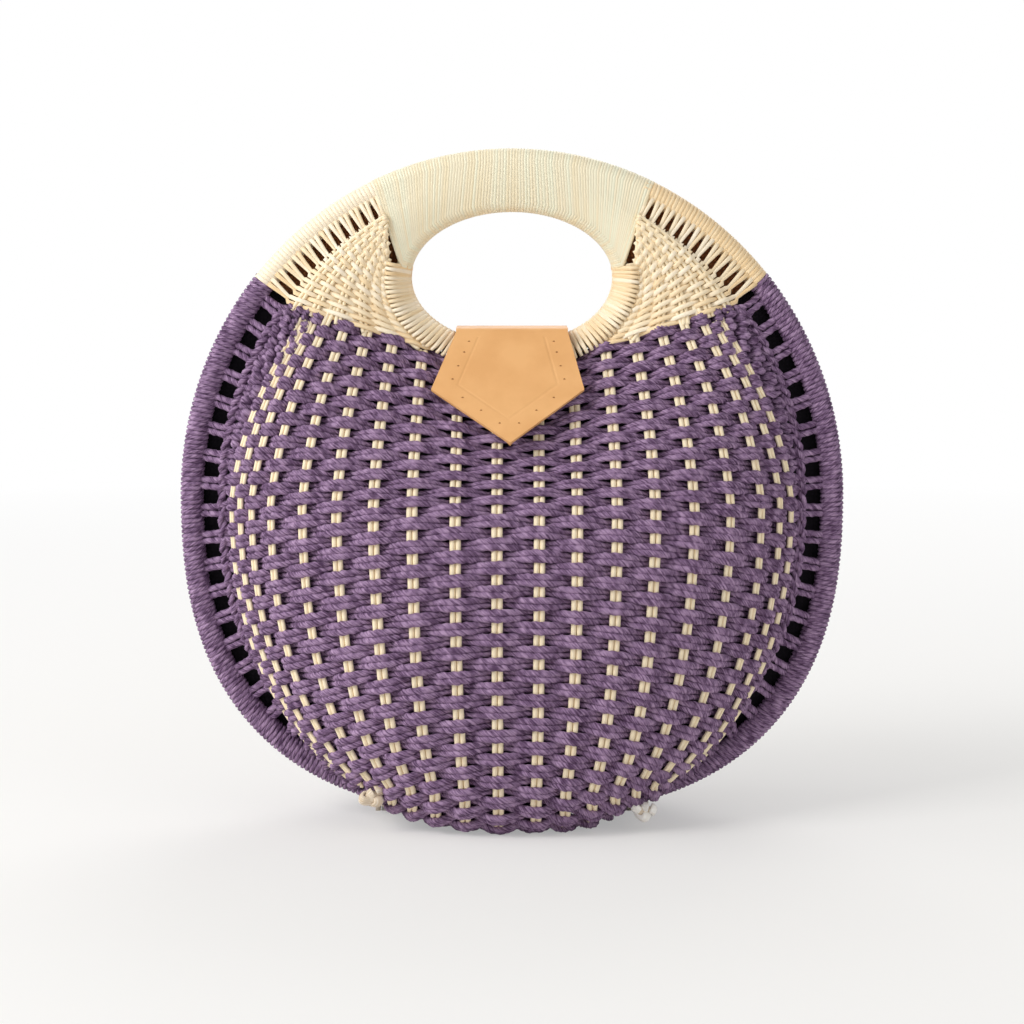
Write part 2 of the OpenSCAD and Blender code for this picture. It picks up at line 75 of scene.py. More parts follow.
# The hand ring: its centre's height, half its size, and the radius of its winding
HOLE_Z, RING_HALF_W, RING_HALF_H, RING_R = 246.0, 50.2, 34.2, 4.2
RING_OUT_W, RING_OUT_H = RING_HALF_W + RING_R, RING_HALF_H + RING_R
# Angles on the rim and on the ring where the right shoulder begins and ends
SHOULDER_FROM, GRIP_FROM, RING_BODY_FROM, RING_GRIP_FROM = 40, 65, 310, 9
# The outermost ribs lie this far inside the foot line, and this much further in at the shoulders' height
RIB_INSET, RIB_INSET_UP, SHOULDER_Z = 3.0, 11.0, 220.0
# Below this height the ribs close in no more, and the power by which the inner ones follow the outermost
RIB_SPLAY_Z, RIB_BEND = 20.0, 0.6
# The ribs' places at mid height, from left to right: listed one by one, so not quite even
ALL_RIBS = [-127.6, -123.2, -117.5, -108.2, -93.4, -77.7, -61, -43.8, -24.8, -6.5, 11.9, 28.6, 46.2, 63.3, 80.9,
            97.6, 112.2, 121.3, 127.2]
# Between these places the ribs grow thinner by this share, lie deeper by this much and reach less far down
OUTER_FROM, OUTER_TO, OUTER_THIN, OUTER_DEEPER, OUTER_SHORTER = 70, 122, 0.32, 0.9, 0.035
# Ribs: how far down they reach, by the foot line's measure, and how much nearer the wall's face than its middle
RIB_REACH, RIB_FORWARD = 0.95, 0.5
# Where a rib's X decides its upper end, the X from which it ends in a shoulder, and how far over the wall's edge
RIB_TOP_Z, RIB_TOP_X, RIB_OVER_EDGE, RIB_UNDER_EDGE = 225, 50, 3.5, 2
# The outermost ribs end this much lower, growing between two places
RIB_LOWER_FROM, RIB_LOWER_TO, RIB_LOWER = 112, 118, 9
# The purple wall's upper edge follows the ring up to this X, and from there it rises
RING_EDGE_X, EDGE_RISE = 35, 0.294
# The height where the upper courses end, the lowest one's height, and the weave's middle behind the wall's face
MID_Z, LOW_Z, MID_DEPTH = 150, -3.95, 3.9
# Radius of the cords in the webs, how far inside the rim the holes end, and the border's half turns and radius
WEB_CORD_R, HOLE_END, BORDER_TURNS, BORDER_R = 1.45, 7.4, 48, 1.3
# Lashings: place, width, thickness and spacing of the reed, the height they turn about, and their gap to the rim
TIE_X, TIE_W, TIE_T, TIE_SPACE, TIE_AXIS_Z, TIE_GAP = 56.5, 2.4, 0.8, 0.2, 1.3, 0.8
# Two tails go up from each lashing to its knot: their radius, and how far each lies to the side
TAIL_R, TAIL_ASIDE = 1.1, 1.6
# The tab: its width at the fold and at its corners, its length and theirs, and the anchor's length
TAB_W, TAB_CORNER_W, TAB_LEN, TAB_CORNER_LEN, ANCHOR_LEN = 50.0, 67.6, 58.2, 30.4, 42.0
# Its two leathers, the fold in front, the bend behind and the slopes of leaf and anchor
FACE_T, BACK_T, FOLD_R, FOLD_Y, BEND_Y = 1.6, 1.2, 1.5, 11.9, 13.7
BRIDGE_Z, BEND_Z, LEAF_SLOPE, ANCHOR_SLOPE = 221.367, 222.767, math.radians(36.52), math.radians(31.32)
# The snap's place along the leaf, and its patch. Under the leaf lie a gap, stud, gap, socket and gap.
SNAP_AT, PATCH_R, PATCH_T, PATCH_SEAM_R = 33.0, 10.0, 1.2, 8.6
PATCH_FACE = -0.2 - 1.2 - 0.3 - 1.8 - 0.2
# Radii of the threads of the anchor's and the patch's seams, and of the pricks in the leaf
ANCHOR_THREAD_R, PATCH_THREAD_R, PRICK_R = 0.36, 0.33, 0.5
# The shoulder's reeds and the lining start this far outside the ring's winding
RING_CLEAR = 1.2
# The shoulder's ribs, by share of the way from ring to foot line
SHOULDER_RIBS = [0.10, 0.27, 0.45, 0.63, 0.80, 0.93]
# The lining lies this far behind the wall's face, and more low down, where the web cords come further in
LINING_BACK, LINING_BACK_LOW, LINING_LOW_FROM, LINING_LOW_TO = 10.2, 2.8, 125, 70
# Its hem: how far in front of the reed's middle it ends, its share of the lining, and its thickness and least height
HEM_LIFT, HEM_SHARE, LINING_T, LINING_FLOOR = 4.6, 0.16, 0.8, 9.2
# A cord's radius takes this share of the room to its neighbour, between a least and a most, and swells in front
CORD_ROOM, CORD_R_MIN, CORD_R_MAX, CORD_FILL, CORD_SWELL = 0.56, 0.8, 1.55, 1.02, 0.16
# Four cords share a web, this far to both sides of its middle and in front of and behind it
WEB_ASIDE, WEB_DEEP = 1.5, 1.15
# A web cord's depth in front of the reeds' middle, at its gate and near the rim, and near the rim under the base
WEB_GATE_Y, WEB_NEAR_Y, WEB_NEAR_LOW_Y = 5.2, 1.2, 5.5
# Under the base, below this height, its gate moves to the foot line: this far behind the wall's face, and its heights
WEB_LOW_FROM, WEB_LOW_IN, WEB_LOW_Z, WEB_LEAST_Z = 20, 1.0, 2.4, 1.4
# How far inside the rim's middle line cords and reeds end, in the rim's reed, and where cloth ends
IN_RIM, CLOTH_IN_RIM = -1.5, -2.5
# The border's two cords: how far inside the holes' end they twine, and how far round their middle and in front
BORDER_IN, BORDER_ACROSS, BORDER_DEEP, BORDER_Y = 1.9, 1.15, 1.5, 6.6
# Angles on the left of the rim where the border begins and ends
BORDER_FROM, BORDER_TO = 180 - SHOULDER_FROM + 1.5, 240
# Windings: the radius in the plane of the rim, the radius in depth, and the points of one turn
RIM_COIL, SHOULDER_COIL = (4.3, 4.6, 11), (4.7, 5.2, 14)
# Flat reeds: width and thickness
WOUND_REED, RING_REED, SHOULDER_REED = (2.1, 0.8), (2.1, 1.0), (2.15, 1.05)
# The grip: its length along the rim, the radii of its winding over rim and ring with what is more in depth, half
# its thickness beside the two, and how far it stands out between them
GRIP_RUN, GRIP_RIM_R, GRIP_RING_R, GRIP_DEEPER, GRIP_FACES, GRIP_CROWN = 131, 4.9, 4.3, 0.4, (5.3, 4.7), 0.9
# Its reed's width by the pitch of its turns, and its thickness
GRIP_REED_WIDE, GRIP_REED_T = 1.22, 0.62
# The shoulder's thin ribs, and their depth behind the wall's face, with the swing of the reeds round them
SHOULDER_RIB_R, SHOULDER_RIB_DEPTH, SHOULDER_SWING = 0.95, 2.4, 1.35
# Where its reeds begin to cross the slots, outside the rim's middle line, and their depth at both ends of the slots,
# behind the foot line and in front of the reeds' middle
SLOT_FROM, SLOT_IN, SLOT_Y = -13.5, 2.5, 4.6
# There, the share of the way across, and how far the reed is pulled to its bunch
SLOT_STEPS = [(0.1, 0.62), (0.4, 0.42), (0.7, 0.2), (1.0, 0.0)]
# The facing, a brown sheet of painted shade behind the shoulders' slots: how far outside the ring's middle line it
# begins, its depth behind the reeds' middle at ring and rim, how far it bulges to the front between them, and its
# thickness
SHADE_FACING_OUT, SHADE_FACING_RING_Y, SHADE_FACING_RIM_Y, SHADE_FACING_BULGE, SHADE_FACING_T = 1.0, 2.2, 3.0, 4.5, 0.7
# The outline of the knots' flat reed, and their size across, in depth and upwards
KNOT_SECTION = [(-2.3, -0.2), (-1.7, 0.75), (0, 1.15), (1.7, 0.75), (2.3, -0.2), (1.2, -0.8), (-1.2, -0.8)]
KNOT_ACROSS, KNOT_DEEP, KNOT_UP = 1.8, 1.9, 1.25
# Half the size of a knot's heart, across, in depth and upwards
KNOT_HEART = (3.6, 2.2, 3.0)
# Places of the two knots, with how far each leans
KNOTS = [(-1, (-61.9, -44.5, 17.4), -20), (1, (58.6, -38.5, 10.2), 25)]
# The outline of a plain round cord's section
ROUND = [1.0] * 6
# The camera's place in metres, how far it looks down, and its lens
CAMERA_PLACE, CAMERA_DOWN, CAMERA_LENS = (0, -1.2, 0.27), math.radians(6.19), 93.1


# The bag's outline and surfaces

def clamp01(v):
    return min(1.0, max(0.0, v))


def mix(p, q, s):
    return p + (q - p) * s


def unit(v):
    return v / np.linalg.norm(v)


def unit_rows(rows):
    """Rows of directions, each brought to length 1."""
    return rows / np.linalg.norm(rows, axis=1)[:, None]


def cos_sin(degrees):
    return math.cos(math.radians(degrees)), math.sin(math.radians(degrees))


def signed_pow(v, e):
    return math.copysign(abs(v) ** e, v)


def rim_xz(t, off=0.0):
    """A point of the rim's middle line at t degrees, moved outwards by off."""
    c, s = cos_sin(t)
    e, rise = (2 / LOWER_POWER, RIM_DOWN + off) if s < 0 else (1, RIM_UP + off)
    return np.array([(RIM_HALF_W + off) * signed_pow(c, e), WAIST_Z + rise * signed_pow(s, e)])


def ring_xz(t, off=0.0):
    """A point of the hand ring's middle line at t degrees, moved outwards by off."""
    c, s = cos_sin(t)
    return np.array([(RING_HALF_W + off) * c, HOLE_Z + (RING_HALF_H + off) * s])


def foot_share(x, z):
    """How far out a point lies from the belly's middle, 1 on the foot line."""
    if z >= WAIST_Z:
        return math.hypot(x / FOOT_HALF_W, (z - WAIST_Z) / TOP_FOOT_UP)
    return (abs(x / FOOT_HALF_W) ** FOOT_POWER + ((WAIST_Z - z) / FOOT_DOWN) ** FOOT_POWER) ** (1 / FOOT_POWER)


def depth(x, z):
    """Depth of the woven wall's face in front of the parting plane."""
    share = foot_share(x, z)
    low = 0.0 if z >= WAIST_Z else ((WAIST_Z - z) / (FOOT_DOWN * max(share, 0.01))) ** 4
    power, blunt = mix(SIDE_POWER, BASE_POWER, low), mix(SIDE_BLUNTNESS, BASE_BLUNTNESS, low)
    rise = max(0.0, 1 - min(1.0, share) ** power) ** blunt
    rings = math.hypot(x / RING_OUT_W, (z - HOLE_Z) / RING_OUT_H)
    fade = 1 - (1 - clamp01((rings - 1) / FADE_RINGS)) ** FADE_POWER
    return FOOT_Y + BELLY * rise * fade


def wall_point(x, z):
    """The point of the front half's woven face at x and z."""
    return np.array([x, -depth(x, z), max(z, 0.0)])


def wall_normal(x, z, probe=1.0):
    """The direction out of the wall's face, from its slope over a probe's length to each side."""
    if z < 0:
        return np.array([0.0, 0.0, -1.0])
    across = (depth(x - probe, z) - depth(x + probe, z)) / (2 * probe)
    up = (depth(x, z - probe) - depth(x, z + probe)) / (2 * probe)
    return unit(np.array([across, -1.0, up]))


def foot_xz(t):
    """Where the belly's foot line lies in the direction of the rim at t degrees."""
    toward = rim_xz(t) - (0, WAIST_Z)
    return np.array([0, WAIST_Z]) + toward / foot_share(toward[0], toward[1] + WAIST_Z)


def rib_half_at(z):
    """Half the width between the outermost ribs at height z."""
    if z >= WAIST_Z:
        up = min(z, WAIST_Z + RIM_UP * 0.98) - WAIST_Z
        return (RIM_HALF_W * math.sqrt(1 - (up / RIM_UP) ** 2) - (RIM_HALF_W - FOOT_HALF_W)
                - RIB_INSET - RIB_INSET_UP * clamp01((z - WAIST_Z) / (SHOULDER_Z - WAIST_Z)))
    down = (WAIST_Z - max(z, RIB_SPLAY_Z)) / FOOT_DOWN
    return FOOT_HALF_W * (1 - down ** FOOT_POWER) ** (1 / FOOT_POWER) - RIB_INSET


def rib_x(place, z):
    """Where the rib that is at place at mid height lies at height z."""
    share = rib_half_at(z) / (FOOT_HALF_W - RIB_INSET)
    return place * (1 - (1 - share) * (abs(place) / (FOOT_HALF_W - RIB_INSET)) ** RIB_BEND)


def rib_index(x, z):
    """A running number that is whole on each rib and grows from left to right."""
    places = [rib_x(p, z) for p in ALL_RIBS]
    step_left, step_right = places[1] - places[0], places[-1] - places[-2]
    if x < places[0]:
        return (x - places[0]) / step_left
    if x > places[-1]:
        return len(places) - 1 + (x - places[-1]) / step_right
    return float(np.interp(x, places, range(len(places))))


def boundary_z(x):
    """The line where the purple wall meets the hand ring and the natural shoulders."""
    x = abs(x)
    near = min(x, RING_EDGE_X)
    return HOLE_Z - RING_OUT_H * math.sqrt(1 - (near / RING_OUT_W) ** 2) + (x - near) * EDGE_RISE


def shoulder_angles(v):
    """The angles on the rim and on the ring at share v of the right shoulder, from purple wall to grip."""
    return mix(SHOULDER_FROM, GRIP_FROM, v), mix(RING_BODY_FROM, 360 + RING_GRIP_FROM, v)


def shoulder_place(v, w):
    """A place of the right shoulder: v from the purple wall to the grip, w from the ring to the foot line."""
    t, r = shoulder_angles(v)
    return mix(ring_xz(r, RING_R + RING_CLEAR), foot_xz(t), w)


def lengths_along(points):
    """The length of a path up to each of its points."""
    return np.concatenate([[0.0], np.cumsum(np.linalg.norm(np.diff(points, axis=0), axis=1))])


def smoothed(points, count):
    """The same path with count evenly spaced points, its corners eased."""
    points = np.asarray(points, float)
    for _ in range(2):
        points[1:-1] = points[1:-1] * 0.5 + (points[:-2] + points[2:]) * 0.25
    along = lengths_along(points)
    return np.stack([np.interp(np.linspace(0, along[-1], count), along, points[:, k]) for k in range(3)], axis=1)


# Making pieces

def link(obj):
    bpy.context.collection.objects.link(obj)
    return obj


def mesh_piece(name, mesh, material, body, smooth=True):
    """Puts a finished mesh in the scene as a piece that rides on a body."""
    mesh.name = name
    mesh.materials.clear()
    for one in material if isinstance(material, (list, tuple)) else [material]:
        mesh.materials.append(one)
    mesh.polygons.foreach_set("use_smooth", [smooth] * len(mesh.polygons))
    obj = link(bpy.data.objects.new(name, mesh))
    if body:
        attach(obj, body)
    return obj


def half_turned(mesh):
    """A copy of a front piece's mesh for the back half, turned about the upright axis."""
    copy = mesh.copy()
    copy.transform(Matrix.Rotation(math.pi, 4, "Z"))
    return copy


def both_halves(name, mesh, material, slot, *nodes, smooth=True):
    """The piece on the front half, and its like on the back half. Each stands for its CAD nodes."""
    back_mesh = half_turned(mesh)
    pieces = []
    for side, one in (("front", mesh), ("back", back_mesh)):
        piece = mesh_piece(f"{side}_{name}", one, material, f"{side}_shell", smooth)
        if nodes:
            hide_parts(*[f"{side}_{node}" for node in nodes])
        pieces.append(piece)
    return pieces


def tone_of(number):
    """A tone between 0 and 1 for the reed with this number, spread without order but the same each run."""
    return (math.sin(number * 12.9898) * 43758.5453) % 1


def finished(bm, name):
    """The mesh of a bmesh, which is freed."""
    mesh = bpy.data.meshes.new(name)
    bm.to_mesh(mesh)
    bm.free()
    return mesh


def finished_cloth(bm, name, thickness):
    """The mesh of a cloth from its one face, and the face's area in square metres."""
    bmesh.ops.recalc_face_normals(bm, faces=bm.faces)
    area = sum(face.calc_area() for face in bm.faces)
    bmesh.ops.solidify(bm, geom=bm.faces, thickness=thickness * MM)
    bmesh.ops.recalc_face_normals(bm, faces=bm.faces)
    return finished(bm, name), area


def closed_profile(name, radii):
    """The outline of a cord's section as a closed curve to sweep, with its radii in millimetres."""
    curve = bpy.data.curves.new(name, "CURVE")
    curve.dimensions = "2D"
    curve.fill_mode = "NONE"
    spline = curve.splines.new("POLY")
    spline.points.add(len(radii) - 1)
    for k, r in enumerate(radii):
        a = 2 * math.pi * k / len(radii)
        spline.points[k].co = (r * MM * math.cos(a), r * MM * math.sin(a), 0, 1)
    spline.use_cyclic_u = True
    return link(bpy.data.objects.new(name, curve))


def swept_cords(name, paths, radii, section, ply_pitch=0.0):
    """Round cords along paths in millimetres, with the section turned once for each ply pitch."""
    profile = closed_profile(name + "_section", section)
    curve = bpy.data.curves.new(name, "CURVE")
    curve.dimensions = "3D"
    curve.bevel_mode = "OBJECT"
    curve.bevel_object = profile
    curve.use_fill_caps = True
    total = 0.0
    for number, (path, radius) in enumerate(zip(paths, radii)):
        along = lengths_along(path)
        total += along[-1]
        spline = curve.splines.new("POLY")
        spline.points.add(len(path) - 1)
        spline.points.foreach_set("co", np.hstack([path * MM, np.ones((len(path), 1))]).ravel())
        spline.points.foreach_set("radius", np.broadcast_to(radius, len(path)).astype(float))
        if ply_pitch:
            spline.points.foreach_set("tilt", along * 2 * math.pi / ply_pitch + number * 1.7)
    obj = link(bpy.data.objects.new(name + "_curve", curve))
    bpy.context.view_layer.update()
    mesh = bpy.data.meshes.new_from_object(obj.evaluated_get(bpy.context.evaluated_depsgraph_get()))
    bpy.data.objects.remove(obj)
    bpy.data.objects.remove(profile)
    if mesh.uv_layers:
        uv = np.empty(len(mesh.loops) * 2)
        mesh.uv_layers[0].data.foreach_get("uv", uv)
        uv = uv.reshape(-1, 2) * (total / len(paths) * MM, 1)
        mesh.uv_layers[0].data.foreach_set("uv", uv.ravel())
    face_outwards(mesh, 2e-6)
    return mesh


def face_outwards(mesh, merge=0.0):
    """Merges doubles that lie closer than merge, and turns every face outwards."""
    bm = bmesh.new()
    bm.from_mesh(mesh)
    if merge:
        bmesh.ops.remove_doubles(bm, verts=bm.verts, dist=merge)
    bmesh.ops.recalc_face_normals(bm, faces=bm.faces)
    bm.to_mesh(mesh)
    bm.free()


def reed_strips(name, strips, section, shades=None, widths=None):
    """Flat reeds along paths in millimetres, with a tone, or one for each point, and widths by point.

    No operator keeps a flat reed's face turned to what it is wound on, so the rings of its section are placed
    here, each from a point and an outward direction.
    """
    verts, faces, uvs, tones = [], [], [], []
    size = len(section)
    for number, (points, outward) in enumerate(strips):
        points, outward = np.asarray(points, float), np.asarray(outward, float)
        tangent = np.gradient(points, axis=0)
        side = np.cross(tangent, outward)
        side /= np.linalg.norm(side, axis=1)[:, None] + 1e-12
        along, start = lengths_along(points), sum(len(ring) for ring in verts)
        if widths is not None:
            side = side * np.asarray(widths[number])[:, None]
        rings = np.stack([points + side * a + outward * b for a, b in section], axis=1)
        verts.append(rings.reshape(-1, 3))
        tone = shades[number] if shades is not None else tone_of(number)
        tones.append(np.broadcast_to(np.repeat(np.broadcast_to(tone, len(points)), size), len(points) * size))
        for i in range(len(points) - 1):
            for j in range(size):
                k = (j + 1) % size
                a, b = start + i * size, start + (i + 1) * size
                faces.append((a + j, b + j, b + k, a + k))
                uvs += [(along[i] * MM, j / size), (along[i + 1] * MM, j / size),
                        (along[i + 1] * MM, (j + 1) / size), (along[i] * MM, (j + 1) / size)]
        last = start + (len(points) - 1) * size
        faces.append(tuple(start + j for j in range(size)))
        faces.append(tuple(last + size - 1 - j for j in range(size)))
        uvs += [(0, j / size) for j in range(size)] + [(along[-1] * MM, j / size) for j in range(size)]
    mesh = bpy.data.meshes.new(name)
    mesh.from_pydata(np.concatenate(verts) * MM, [], faces)
    layer = mesh.uv_layers.new(name="UVMap")
    layer.data.foreach_set("uv", np.array(uvs).ravel())
    tone_layer = mesh.attributes.new("tone", "FLOAT", "POINT")
    tone_layer.data.foreach_set("value", np.concatenate(tones))
    face_outwards(mesh)
    return mesh


def flat_section(width, thickness):
    """The outline of a flat reed with eased edges."""
    w, t = width / 2, thickness / 2
    return [(-w, 0), (-w * 0.7, t), (w * 0.7, t), (w, 0), (w * 0.7, -t), (-w * 0.7, -t)]


# Materials

def linear(hex_colour):
    """sRGB hex to the linear colour that shaders take."""
    out = []
    for i in (0, 2, 4):
        c = int(hex_colour[i:i + 2], 16) / 255
        out.append(c / 12.92 if c <= 0.04045 else ((c + 0.055) / 1.055) ** 2.4)
    return (*out, 1.0)


def per(size):
    """The scale of a pattern whose clouds or grains are this many millimetres across."""
    return 1 / (size * MM)


def fill(tree, node, settings=None, links=None):
    """Sets a shader node's properties, inputs or stops, and joins its inputs, each to a (node, output) pair."""
    for key, value in (settings or {}).items():
        if key == "stops":
            elements = node.color_ramp.elements
            while len(elements) < len(value):
                elements.new(0.5)
            for element, (position, colour) in zip(elements, value):
                element.position, element.color = position, linear(colour) if isinstance(colour, str) else colour
        elif isinstance(key, str) and hasattr(node, key):
            setattr(node, key, value)
        else:
            node.inputs[key].default_value = value
    for key, (source, output) in (links or {}).items():
        tree.links.new(source.outputs[output], node.inputs[key])
    return node


def add(tree, kind, settings=None, links=None):
    """Adds a shader node with its settings and links."""
    return fill(tree, tree.nodes.new(kind), settings, links)


def new_material(name, settings):
    """A principled material, its tree and its shader."""
    material = bpy.data.materials.new(name)
    material.use_nodes = True
    tree = material.node_tree
    return material, tree, fill(tree, tree.nodes["Principled BSDF"], settings)


def paper_cord(colours):
    """Twisted kraft paper cord, dyed: matt, with creases that run round it at the slant of its twist, painted shade
    in the creases and painted highlight on the ridges between them.
    """
    material, tree, shader = new_material("dyed paper cord", {"Roughness": 0.82})
    uv = add(tree, "ShaderNodeUVMap", {"uv_map": "UVMap"})
    # Creases some 5 mm long, ten of them round the cord, so 0.5 to 1 mm apart
    along = add(tree, "ShaderNodeMapping", {"Scale": (per(5.263), 10, 1)}, {"Vector": (uv, "UV")})
    crease = add(tree, "ShaderNodeTexNoise", {"Scale": 1.0, "Detail": 2.0, "Roughness": 0.6},
                 {"Vector": (along, "Vector")})
    # The dye took unevenly, in clouds of some 4 mm
    place = add(tree, "ShaderNodeTexCoord")
    dye = add(tree, "ShaderNodeTexNoise", {"Scale": per(3.846), "Detail": 3.0}, {"Vector": (place, "Object")})
    share = add(tree, "ShaderNodeMath", {"operation": "MULTIPLY", 1: 0.38}, {0: (dye, "Fac")})
    both = add(tree, "ShaderNodeMath", {"operation": "MULTIPLY_ADD", 1: 0.62},
               {0: (crease, "Fac"), 2: (share, "Value")})
    # The crease pattern paints shade into the creases with the dark stop and highlight onto the ridges with the light
    # stop. The dye clouds are mixed in.
    stops = [(0.40, colours.cord_painted_shade), (0.50, colours.cord), (0.61, colours.cord_painted_highlight)]
    colour = add(tree, "ShaderNodeValToRGB", {"stops": stops}, {"Fac": (both, "Value")})
    relief = add(tree, "ShaderNodeBump", {"Strength": 0.9, "Distance": 0.6 * MM}, {"Height": (crease, "Fac")})
    fill(tree, shader, {}, {"Base Color": (colour, "Color"), "Normal": (relief, "Normal")})
    return material


def split_reed(name, dark, middle, light, roughness=0.55, fibre_long=33.33, fibres_round=14):
    """Natural reed, split and soaked before weaving: satin, with fine fibres along it and small tone steps."""
    material, tree, shader = new_material(name, {"Roughness": roughness})
    uv = add(tree, "ShaderNodeUVMap", {"uv_map": "UVMap"})
    # Streaks of fibre, 0.4 to 0.6 mm wide
    along = add(tree, "ShaderNodeMapping", {"Scale": (per(fibre_long), fibres_round, 1)}, {"Vector": (uv, "UV")})
    fibre = add(tree, "ShaderNodeTexNoise", {"Scale": 1.0, "Detail": 3.0, "Roughness": 0.65},
                {"Vector": (along, "Vector")})
    tone = add(tree, "ShaderNodeAttribute", {"attribute_name": "tone"})
    share = add(tree, "ShaderNodeMath", {"operation": "MULTIPLY", 1: 0.35}, {0: (tone, "Fac")})
    both = add(tree, "ShaderNodeMath", {"operation": "MULTIPLY_ADD", 1: 0.65},
               {0: (fibre, "Fac"), 2: (share, "Value")})
    stops = [(0.22, dark), (0.45, middle), (0.68, light)]
    colour = add(tree, "ShaderNodeValToRGB", {"stops": stops}, {"Fac": (both, "Value")})
    relief = add(tree, "ShaderNodeBump", {"Strength": 0.6, "Distance": 0.2 * MM}, {"Height": (fibre, "Fac")})
    fill(tree, shader, {}, {"Base Color": (colour, "Color"), "Normal": (relief, "Normal")})
    return material


def pressed_line(tree):
    """Height of the faint line pressed into the leaf some 10 mm inside its edges, from its flat coordinates."""
    flat = add(tree, "ShaderNodeAttribute", {"attribute_name": "flat"})
    parts = add(tree, "ShaderNodeSeparateXYZ", {}, {0: (flat, "Vector")})
    aside = add(tree, "ShaderNodeMath", {"operation": "ABSOLUTE"}, {0: (parts, "X")})
    edges = []
    # The leaf's side and lower edges, each as its direction across and along the leaf, and its distance
    for by_side, by_length, off in ((0.961, -0.278, -13.4), (0.635, 0.772, -35.6)):
        across = add(tree, "ShaderNodeMath", {"operation": "MULTIPLY_ADD", 1: by_side, 2: off}, {0: (aside, "Value")})
        edges.append(add(tree, "ShaderNodeMath", {"operation": "MULTIPLY_ADD", 1: by_length},
                         {0: (parts, "Y"), 2: (across, "Value")}))
    side, lower = edges
    nearer = add(tree, "ShaderNodeMath", {"operation": "MAXIMUM"}, {0: (side, "Value"), 1: (lower, "Value")})
    gap = add(tree, "ShaderNodeMath", {"operation": "ABSOLUTE"}, {0: (nearer, "Value")})
    # The line stops 3 mm below the fold
    above = add(tree, "ShaderNodeMath", {"operation": "MULTIPLY_ADD", 1: -1.0, 2: 3.0}, {0: (parts, "Y")})
    whole = add(tree, "ShaderNodeMath", {"operation": "MAXIMUM"}, {0: (gap, "Value"), 1: (above, "Value")})
    return add(tree, "ShaderNodeMapRange", {"From Min": 0.1, "From Max": 0.9}, {"Value": (whole, "Value")})


def tanned_leather(name, colour, colour_deep, roughness=0.48, line=False):
    """Smooth vegetable-tanned cow leather: a soft sheen over a fine pebbled grain, in clouds of lighter and deeper
    tone.
    """
    material, tree, shader = new_material(name, {"Roughness": roughness})
    place = add(tree, "ShaderNodeTexCoord")
    # Clouds of tone some 17 mm across, over a grain of 0.7 mm pebbles
    cloud = add(tree, "ShaderNodeTexNoise", {"Scale": per(16.67), "Detail": 4.0}, {"Vector": (place, "Object")})
    grain = add(tree, "ShaderNodeTexVoronoi", {"Scale": per(0.7143)}, {"Vector": (place, "Object")})
    height = (grain, "Distance")
    if line:
        both = add(tree, "ShaderNodeMath", {"operation": "MULTIPLY_ADD", 1: 0.12},
                   {0: height, 2: (pressed_line(tree), "Result")})
        height = (both, "Value")
    tone = add(tree, "ShaderNodeValToRGB", {"stops": [(0.35, colour_deep), (0.62, colour)]}, {"Fac": (cloud, "Fac")})
    relief = add(tree, "ShaderNodeBump", {"Strength": 0.4, "Distance": (0.3 if line else 0.12) * MM},
                 {"Height": height})
    fill(tree, shader, {}, {"Base Color": (tone, "Color"), "Normal": (relief, "Normal")})
    return material


def cotton_cloth(name, colour, colour_deep):
    """Plain-woven cotton: matt, with a thread every 0.5 mm, drawn at 1 mm so that it shows."""
    material, tree, shader = new_material(name, {"Roughness": 0.9})
    place = add(tree, "ShaderNodeTexCoord")
    # A wave texture of scale 1 repeats every pi / 10, and here that is two threads, one over and one under
    fine = per(2 * 0.9817) * math.pi / 10
    warp, weft = [add(tree, "ShaderNodeTexWave", {"bands_direction": way, "Scale": fine},
                      {"Vector": (place, "Object")}) for way in "XZ"]
    weave = add(tree, "ShaderNodeMath", {"operation": "MULTIPLY"}, {0: (warp, "Fac"), 1: (weft, "Fac")})
    tone = add(tree, "ShaderNodeValToRGB", {"stops": [(0.0, colour_deep), (1.0, colour)]}, {"Fac": (weave, "Value")})
    relief = add(tree, "ShaderNodeBump", {"Strength": 0.5, "Distance": 0.2 * MM}, {"Height": (weave, "Value")})
    fill(tree, shader, {}, {"Base Color": (tone, "Color"), "Normal": (relief, "Normal")})
    return material


def nickel_plate():
    """Nickel-plated steel: a warm grey metal, faintly clouded."""
    material, tree, shader = new_material("nickel-plated steel", {"Roughness": 0.28, "Metallic": 1.0})
    # Clouds some 1 mm across
    place = add(tree, "ShaderNodeTexCoord")
    cloud = add(tree, "ShaderNodeTexNoise", {"Scale": per(1.111), "Detail": 2.0}, {"Vector": (place, "Object")})
    tone = add(tree, "ShaderNodeValToRGB", {"stops": [(0.3, "bdbab2"), (0.7, "d2d0c8")]}, {"Fac": (cloud, "Fac")})
    fill(tree, shader, {}, {"Base Color": (tone, "Color")})
    return material


def waxed_thread(colour, colour_deep):
    """Waxed linen thread: a soft twist of light and dark along it, some 0.7 mm apart."""
    material, tree, shader = new_material("waxed thread", {"Roughness": 0.6})
    place = add(tree, "ShaderNodeTexCoord")
    ply = add(tree, "ShaderNodeTexNoise", {"Scale": per(0.6667)}, {"Vector": (place, "Object")})
    tone = add(tree, "ShaderNodeValToRGB", {"stops": [(0.35, colour_deep), (0.65, colour)]}, {"Fac": (ply, "Fac")})
    fill(tree, shader, {}, {"Base Color": (tone, "Color")})
    return material


FINISHES = {}


